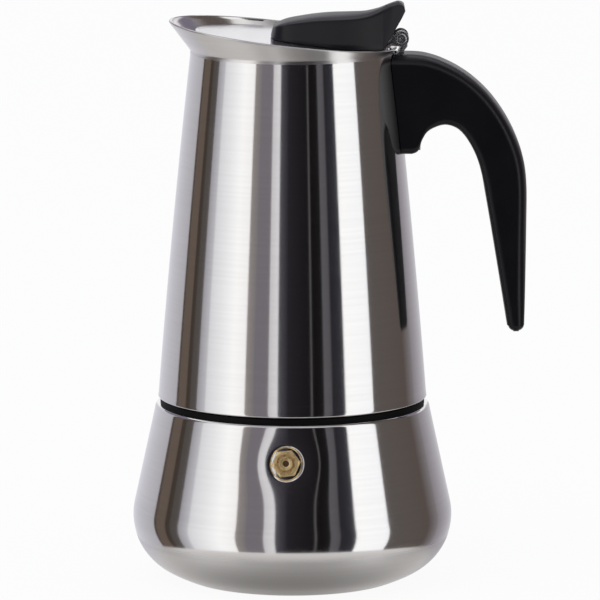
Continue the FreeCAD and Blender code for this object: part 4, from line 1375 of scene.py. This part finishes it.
# ---- valve and inner pieces -------------------------------------------------------------------
@dataclass
class SafetyValve:
    """The brass safety valve: a chamfered hexagon with a ringed face and a plunger."""

    shop: Workshop
    finishes: Palette
    place: ValvePlace
    flats: float = 8.1
    turned: float = math.radians(-7)
    shank: float = 3.0
    inner_end: float = -8.0
    base: float = -1.30
    face: float = 0.9
    chamfer_start: float = 3.8
    boss: float = 2.15
    boss_face: float = 1.3
    groove: float = 3.0
    groove_depth: float = 1.1
    hole: float = 0.98
    bore: float = 2.0
    bore_end: float = 0.1
    spring_end: float = 1.2
    spring_keep: float = 0.84

    def hexagon(self, turn: np.ndarray) -> np.ndarray:
        """Distance from the axis to the hexagon's side in each direction, corners level."""
        sector = np.mod(turn, math.pi / 3) - math.pi / 6
        return self.flats / 2 / np.cos(sector)

    def body_mesh(self, columns: int = 144) -> bpy.types.Mesh:
        """The hexagon and its turned face as rows round the valve's axis."""
        turn = np.linspace(0, 2 * math.pi, columns, endpoint=False)
        # the valve's local x points down in place, so the hexagon's corners lie along local y
        turn_hex = turn + math.pi / 2 + self.turned
        side = self.hexagon(turn_hex)
        rows = []

        def row(radius: Any, height: Any) -> None:
            """Adds one row."""
            r = np.broadcast_to(radius, turn.shape)
            z = np.broadcast_to(height, turn.shape)
            rows.append(np.column_stack([r * np.cos(turn), r * np.sin(turn), z]))

        top = self.face - np.maximum(0, side - self.chamfer_start) * math.tan(math.radians(32))
        row(self.bore, self.inner_end)
        row(self.shank, self.inner_end)
        row(self.shank, self.base)
        row(side * 0.98, self.base)
        row(side, self.base + 0.1)
        row(side, top - 0.12)
        row(side - 0.1, top - 0.01)
        row(np.minimum(side - 0.2, self.chamfer_start + 0.05), self.face - 0.03)
        row(self.chamfer_start - 0.25, self.face)
        row(self.groove + 0.12, self.face)
        row(self.groove, self.face - 0.12)
        row(self.groove, self.face - self.groove_depth)
        row(self.boss, self.face - self.groove_depth)
        row(self.boss, self.boss_face - 0.15)
        row(self.boss - 0.15, self.boss_face)
        row(self.hole + 0.45, self.boss_face)
        row(self.hole + 0.1, self.boss_face - 0.12)
        row(self.hole, self.boss_face - 0.4)
        row(self.hole, self.bore_end)
        row(self.bore, self.bore_end)
        mesh = lattice("valve_hexagon", np.stack(rows) * MM)
        mesh = finished(mesh, 28)
        mesh.transform(self.place.matrix)
        return mesh

    def build(self) -> None:
        """Makes the valve and dresses its inner pieces."""
        brass = self.finishes.brass
        self.shop.piece("valve_hexagon", self.body_mesh(), "boiler", "brass", brass, ["valve_body"])
        # The plunger wears the dark brass: painted shade for the valve's hole.
        plunger = self.shop.turned("plunger", [
            (0.0, -6.55 * MM), (0.0016, -6.55 * MM), (0.0017, -6.45 * MM), (0.0017, -5.55 * MM),
            (0.0016, -5.45 * MM), (0.00075, -5.4 * MM), (0.00075, 0.0), (0.00045, 0.2 * MM),
            (0.0, 0.22 * MM)], self.finishes.hole_shade_brass, 32)
        plunger.transform(self.place.matrix)
        self.shop.piece("plunger_rod", plunger, "valve_plunger", "brass", self.finishes.hole_shade_brass, ["valve_plunger"])
        for node in ("valve_seat_plug", "valve_washer", "valve_nut"):
            dress(node, brass)
        coil = finished(merged_copy("valve_spring", 0.0))
        spring = self.shop.piece("valve_coil", coil, "boiler", "bright_fixings", self.finishes.bright,
                                 ["valve_spring"])
        outward = self.place.matrix.to_3x3() @ Vector((0, 0, 1))
        tuple(self.place.origin + outward * self.spring_end * MM)
        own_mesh(spring)


@dataclass
class InnerWorks:
    """The funnel with its screen, the gasket and the filter plate."""

    shop: Workshop
    finishes: Palette
    hole_radius: float = 0.75 * MM
    ring_spacing: float = 5.6 * MM
    rings: int = 5

    def holes(self, height: float) -> list[tuple[float, float, float]]:
        """Centres of the holes, in rings of six, twelve and so on."""
        points = [(0.0, 0.0, height)]
        for ring in range(1, self.rings + 1):
            reach = ring * self.ring_spacing
            points += [(reach * math.cos(a), reach * math.sin(a), height)
                       for a in np.linspace(0, 2 * math.pi, 6 * ring, endpoint=False)]
        return points

    def perforated(self, node: str, body: str) -> None:
        """Makes a perforated disc in a node's place."""
        lo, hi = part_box(node)
        middle, steel = (lo.z + hi.z) / 2, self.finishes.inner
        points = point_mesh([(x, y, 0.0) for x, y, _ in self.holes(0.0)])
        mesh = self.shop.perforation.grow(node + "_disc", points, {
            "Disc Radius": hi.x, "Thickness": hi.z - lo.z, "Hole Radius": self.hole_radius, "Material": steel})
        mesh.transform(Matrix.Translation((0, 0, middle)))
        self.shop.piece(node + "_disc", finished(mesh), body, "satin_steel", steel, [node])

    def build(self) -> None:
        """Makes the perforated discs and dresses the rest."""
        self.perforated("funnel_screen", "funnel")
        self.perforated("filter_plate", "seal_pack")
        for node in ("funnel_basket", "funnel_stem"):
            dress(node, self.finishes.inner)
        dress("gasket", self.finishes.white_silicone)


# ---- stage ------------------------------------------------------------------------------------
@dataclass(frozen=True)
class Card:
    """One upright reflecting card of the studio: its directions from the pot and its two tones.

    Directions are degrees from -Y towards +X.
    """

    start: float
    end: float
    first: Rgb
    last: Rgb
    bottom: float = -0.36
    top: float = 0.66
    nearer: float = 0.0


STUDIO: tuple[Card, ...] = (
    Card(-166, -115, (0.76, 0.75, 0.82), (0.49, 0.48, 0.51)),
    Card(-115, -112, (0.075, 0.055, 0.045), (0.08, 0.06, 0.05)),
    Card(-112, -101, (0.14, 0.11, 0.09), (0.14, 0.105, 0.085)),
    Card(-101, -96, (0.055, 0.042, 0.035), (0.06, 0.048, 0.04)),
    Card(-96, -87.5, (0.09, 0.078, 0.07), (0.10, 0.09, 0.085)),
    Card(-87.5, -78, (0.38, 0.37, 0.40), (0.60, 0.595, 0.63)),
    Card(-78, -52, (0.80, 0.795, 0.83), (1.18, 1.18, 1.18)),
    Card(-52, -40, (1.18, 1.175, 1.17), (1.12, 1.10, 1.09)),
    Card(-40, -33, (0.30, 0.27, 0.265), (0.24, 0.22, 0.22)),
    Card(-33, -20, (0.20, 0.185, 0.205), (0.20, 0.18, 0.20)),
    Card(-20, -12, (0.68, 0.66, 0.68), (0.84, 0.83, 0.85)),
    Card(-12, -4, (0.09, 0.085, 0.10), (0.03, 0.027, 0.034)),
    Card(-4, 15.5, (0.022, 0.020, 0.024), (0.010, 0.009, 0.010)),
    Card(15.5, 16.8, (0.13, 0.125, 0.125), (0.13, 0.125, 0.125)),
    Card(16.8, 26.5, (0.006, 0.005, 0.005), (0.012, 0.011, 0.012)),
    Card(26.5, 33.5, (0.13, 0.125, 0.135), (0.10, 0.095, 0.105)),
    Card(33.5, 45, (0.022, 0.020, 0.024), (0.035, 0.035, 0.045)),
    Card(45, 71.5, (1.22, 1.22, 1.21), (1.16, 1.16, 1.19)),
    Card(71.5, 112, (0.12, 0.105, 0.10), (0.11, 0.088, 0.078), top=1.05),
    Card(112, 126, (0.11, 0.09, 0.085), (0.24, 0.22, 0.23), top=1.05),
    Card(134, 176, (0.92, 0.89, 0.91), (0.95, 0.93, 0.94), 0.235, 0.335, 0.005),
    Card(130, 260, (0.20, 0.18, 0.24), (0.20, 0.18, 0.24), 0.34, 0.66, 0.01),
    Card(126, 168, (0.28, 0.255, 0.28), (0.66, 0.65, 0.69)),
)


@dataclass
class Stage:
    """The floor, the studio around the pot, the soft light and the camera."""

    card_distance: float = 0.72
    card_bottom: float = -0.36
    high_card: float = 1.05
    camera_distance: float = 2.0
    camera_height: float = 0.4175
    camera_side: float = 0.0025
    camera_pitch: float = 0.162
    lens: float = 374.2
    cards: tuple[Card, ...] = field(default=STUDIO)
    # Disc under the floor, seen only in reflections: its tones darken towards the middle as painted shade of the
    # floor under the pot.
    low_rings: tuple[tuple[float, Rgb], ...] = (
        (0.001, (0.24, 0.23, 0.22)), (0.10, (0.25, 0.24, 0.23)), (0.22, (0.31, 0.30, 0.29)),
        (0.42, (0.56, 0.54, 0.53)), (0.80, (0.84, 0.82, 0.81)))
    high_rings: tuple[tuple[float, Rgb], ...] = (
        (0.001, (0.42, 0.41, 0.45)), (0.35, (0.38, 0.37, 0.41)), (0.75, (0.50, 0.49, 0.53)),
        (0.95, (0.95, 0.95, 0.97)))

    @staticmethod
    def glow(name: str, strength: float = 1.0) -> bpy.types.Material:
        """A material that shines in the colours of the mesh's tone attribute."""
        material = bpy.data.materials.new(name)
        material.use_nodes = True
        material.node_tree.nodes.clear()
        bench = Bench(material.node_tree)
        tone = bench.add("ShaderNodeAttribute", {"attribute_name": "tone"})
        light = bench.add("ShaderNodeEmission", {}, {"Color": tone.outputs["Color"], "Strength": strength})
        bench.add("ShaderNodeOutputMaterial", {}, {"Surface": light.outputs[0]})
        return material

    @staticmethod
    def only_in_reflections(obj: bpy.types.Object) -> None:
        """Leaves an object to reflections alone."""
        obj.visible_camera = obj.visible_diffuse = obj.visible_shadow = False
        obj.visible_transmission = obj.visible_volume_scatter = False

    def stand(self, name: str, points: list[tuple[float, float, float]], faces: list[tuple[int, ...]],
              tones: list[Rgb], material: bpy.types.Material) -> bpy.types.Object:
        """Makes one toned stage mesh that only reflections see."""
        mesh = bpy.data.meshes.new(name)
        mesh.from_pydata(points, [], faces)
        layer = mesh.attributes.new("tone", "FLOAT_COLOR", "POINT")
        for item, tone in zip(layer.data, tones):
            item.color = (*tone, 1.0)
        mesh.materials.append(material)
        obj = bpy.data.objects.new(name, mesh)
        bpy.context.scene.collection.objects.link(obj)
        self.only_in_reflections(obj)
        return obj

    def put_cards(self) -> None:
        """Sets up the cards in a ring round the pot."""
        glow = self.glow("card_glow")
        for index, card in enumerate(self.cards):
            columns = max(2, round((card.end - card.start) / 2))
            points, tones = [], []
            for i in range(columns + 1):
                share = i / columns
                a = math.radians(card.start + (card.end - card.start) * share)
                tone = tuple(p + (q - p) * share for p, q in zip(card.first, card.last))
                reach = self.card_distance - card.nearer
                for z in (card.bottom, card.top):
                    points.append((reach * math.sin(a), -reach * math.cos(a), z))
                    tones.append(tone)
            faces = [(2 * i, 2 * i + 2, 2 * i + 3, 2 * i + 1) for i in range(columns)]
            self.stand(f"card_{index:02d}", points, faces, tones, glow)

    def put_disc(self, name: str, height: float, rings: Sequence[tuple[float, Rgb]],
                 shaded: tuple[float, float] = (0.0, 0.0), shade: Rgb = (0.0, 0.0, 0.0)) -> None:
        """Lays or hangs a level round card.

        Args:
            name: The card's name.
            height: Where it is.
            rings: Radius and tone of each ring.
            shaded: The directions between which the outer rings take the shade, in degrees.
            shade: Their tone there.
        """
        points, tones, faces = [], [], []
        around = 72
        for index, (radius, tone) in enumerate(rings):
            for j in range(around):
                turn = 360 * j / around
                a = math.radians(turn)
                points.append((radius * math.sin(a), -radius * math.cos(a), height))
                tones.append(shade if index and shaded[0] < turn < shaded[1] else tone)
        for i in range(len(rings) - 1):
            for j in range(around):
                k = (j + 1) % around
                faces.append((i * around + j, i * around + k, (i + 1) * around + k, (i + 1) * around + j))
        self.stand(name, points, faces, tones, self.glow(name + "_glow"))

    def put_floor(self) -> None:
        """Lays the plain pale floor, white to the camera but for the pot's shadow."""
        mesh = bpy.data.meshes.new("floor")
        reach = 6.0
        mesh.from_pydata([(-reach, -reach, 0), (reach, -reach, 0), (reach, reach, 0), (-reach, reach, 0)], [],
                         [(0, 1, 2, 3)])
        material = bpy.data.materials.new("floor_pale")
        material.use_nodes = True
        material.node_tree.nodes.clear()
        bench = Bench(material.node_tree)
        matt = bench.add("ShaderNodeBsdfDiffuse", {}, {"Color": (0.86, 0.86, 0.86, 1.0)})
        shine = bench.add("ShaderNodeEmission", {}, {"Color": (1.0, 1.0, 1.0, 1.0), "Strength": 1.0})
        rays = bench.add("ShaderNodeLightPath")
        seen = Term(bench.tree, rays.outputs["Is Camera Ray"]) * 0.93
        mixed = bench.add("ShaderNodeMixShader", {}, {0: seen, 1: matt.outputs[0], 2: shine.outputs[0]})
        bench.add("ShaderNodeOutputMaterial", {}, {"Surface": mixed.outputs[0]})
        mesh.materials.append(material)
        obj = bpy.data.objects.new("floor", mesh)
        bpy.context.scene.collection.objects.link(obj)
        obj.visible_glossy = False

    def light_world(self) -> None:
        """Surrounds the stage with white for the camera, metal and glass and a soft level for the rest."""
        world = bpy.data.worlds.new("studio")
        bpy.context.scene.world = world
        world.use_nodes = True
        world.node_tree.nodes.clear()
        bench = Bench(world.node_tree)
        rays = bench.add("ShaderNodeLightPath")
        seen = (Term(bench.tree, rays.outputs["Is Camera Ray"])
                .larger(rays.outputs["Is Glossy Ray"]).larger(rays.outputs["Is Transmission Ray"]))
        white = bench.add("ShaderNodeBackground", {}, {"Color": (1.0, 1.0, 1.0, 1.0), "Strength": 1.0})
        soft = bench.add("ShaderNodeBackground", {}, {"Color": (0.97, 0.97, 1.0, 1.0), "Strength": 0.75})
        mixed = bench.add("ShaderNodeMixShader", {}, {0: seen, 1: soft.outputs[0], 2: white.outputs[0]})
        bench.add("ShaderNodeOutputWorld", {}, {"Surface": mixed.outputs[0]})

    def hang_light(self) -> None:
        """Hangs one soft lamp above and to the left."""
        lamp = bpy.data.lights.new("soft_lamp", "AREA")
        lamp.shape, lamp.size, lamp.energy = "DISK", 1.6, 9.0
        obj = bpy.data.objects.new("soft_lamp", lamp)
        obj.location = (-0.9, -0.9, 1.9)
        obj.rotation_euler = (Vector((0, 0, 0.1)) - obj.location).to_track_quat("-Z", "Y").to_euler()
        obj.visible_glossy = False
        bpy.context.scene.collection.objects.link(obj)

    def set_camera(self) -> None:
        """Places the camera in front of the pot, a little above it."""
        camera = bpy.data.cameras.new("camera")
        camera.sensor_width, camera.lens = 36.0, self.lens
        camera.clip_end = 50.0
        obj = bpy.data.objects.new("camera", camera)
        obj.location = (self.camera_side, -self.camera_distance, self.camera_height)
        obj.rotation_euler = (math.pi / 2 - self.camera_pitch, 0.0, 0.0)
        bpy.context.scene.collection.objects.link(obj)
        bpy.context.scene.camera = obj

    def build(self) -> None:
        """Builds the whole stage."""
        self.put_floor()
        self.put_cards()
        # The low disc stands in for the floor in reflections, with painted shade near the pot.
        self.put_disc("card_low", self.card_bottom, self.low_rings)
        self.put_disc("card_high", self.high_card, self.high_rings, (74.0, 132.0), (0.05, 0.035, 0.04))
        self.light_world()
        self.hang_light()
        self.set_camera()
        bpy.context.scene.view_settings.view_transform = "Standard"


def main() -> None:
    """Builds the pot's looks, its stage and its camera."""
    logging.basicConfig(level=logging.INFO, format="%(message)s")
    valve = ValvePlace()
    finishes = Palette(valve)
    shop = Workshop()
    chamber = UpperChamber(shop, finishes)
    for part in (Boiler(shop, finishes, valve), chamber, Lid(shop, finishes), Handle(shop, finishes, chamber),
                 SafetyValve(shop, finishes, valve), InnerWorks(shop, finishes), Stage()):
        LOG.info("building %s", type(part).__name__)
        part.build()


if __name__ == "__main__":
    main()
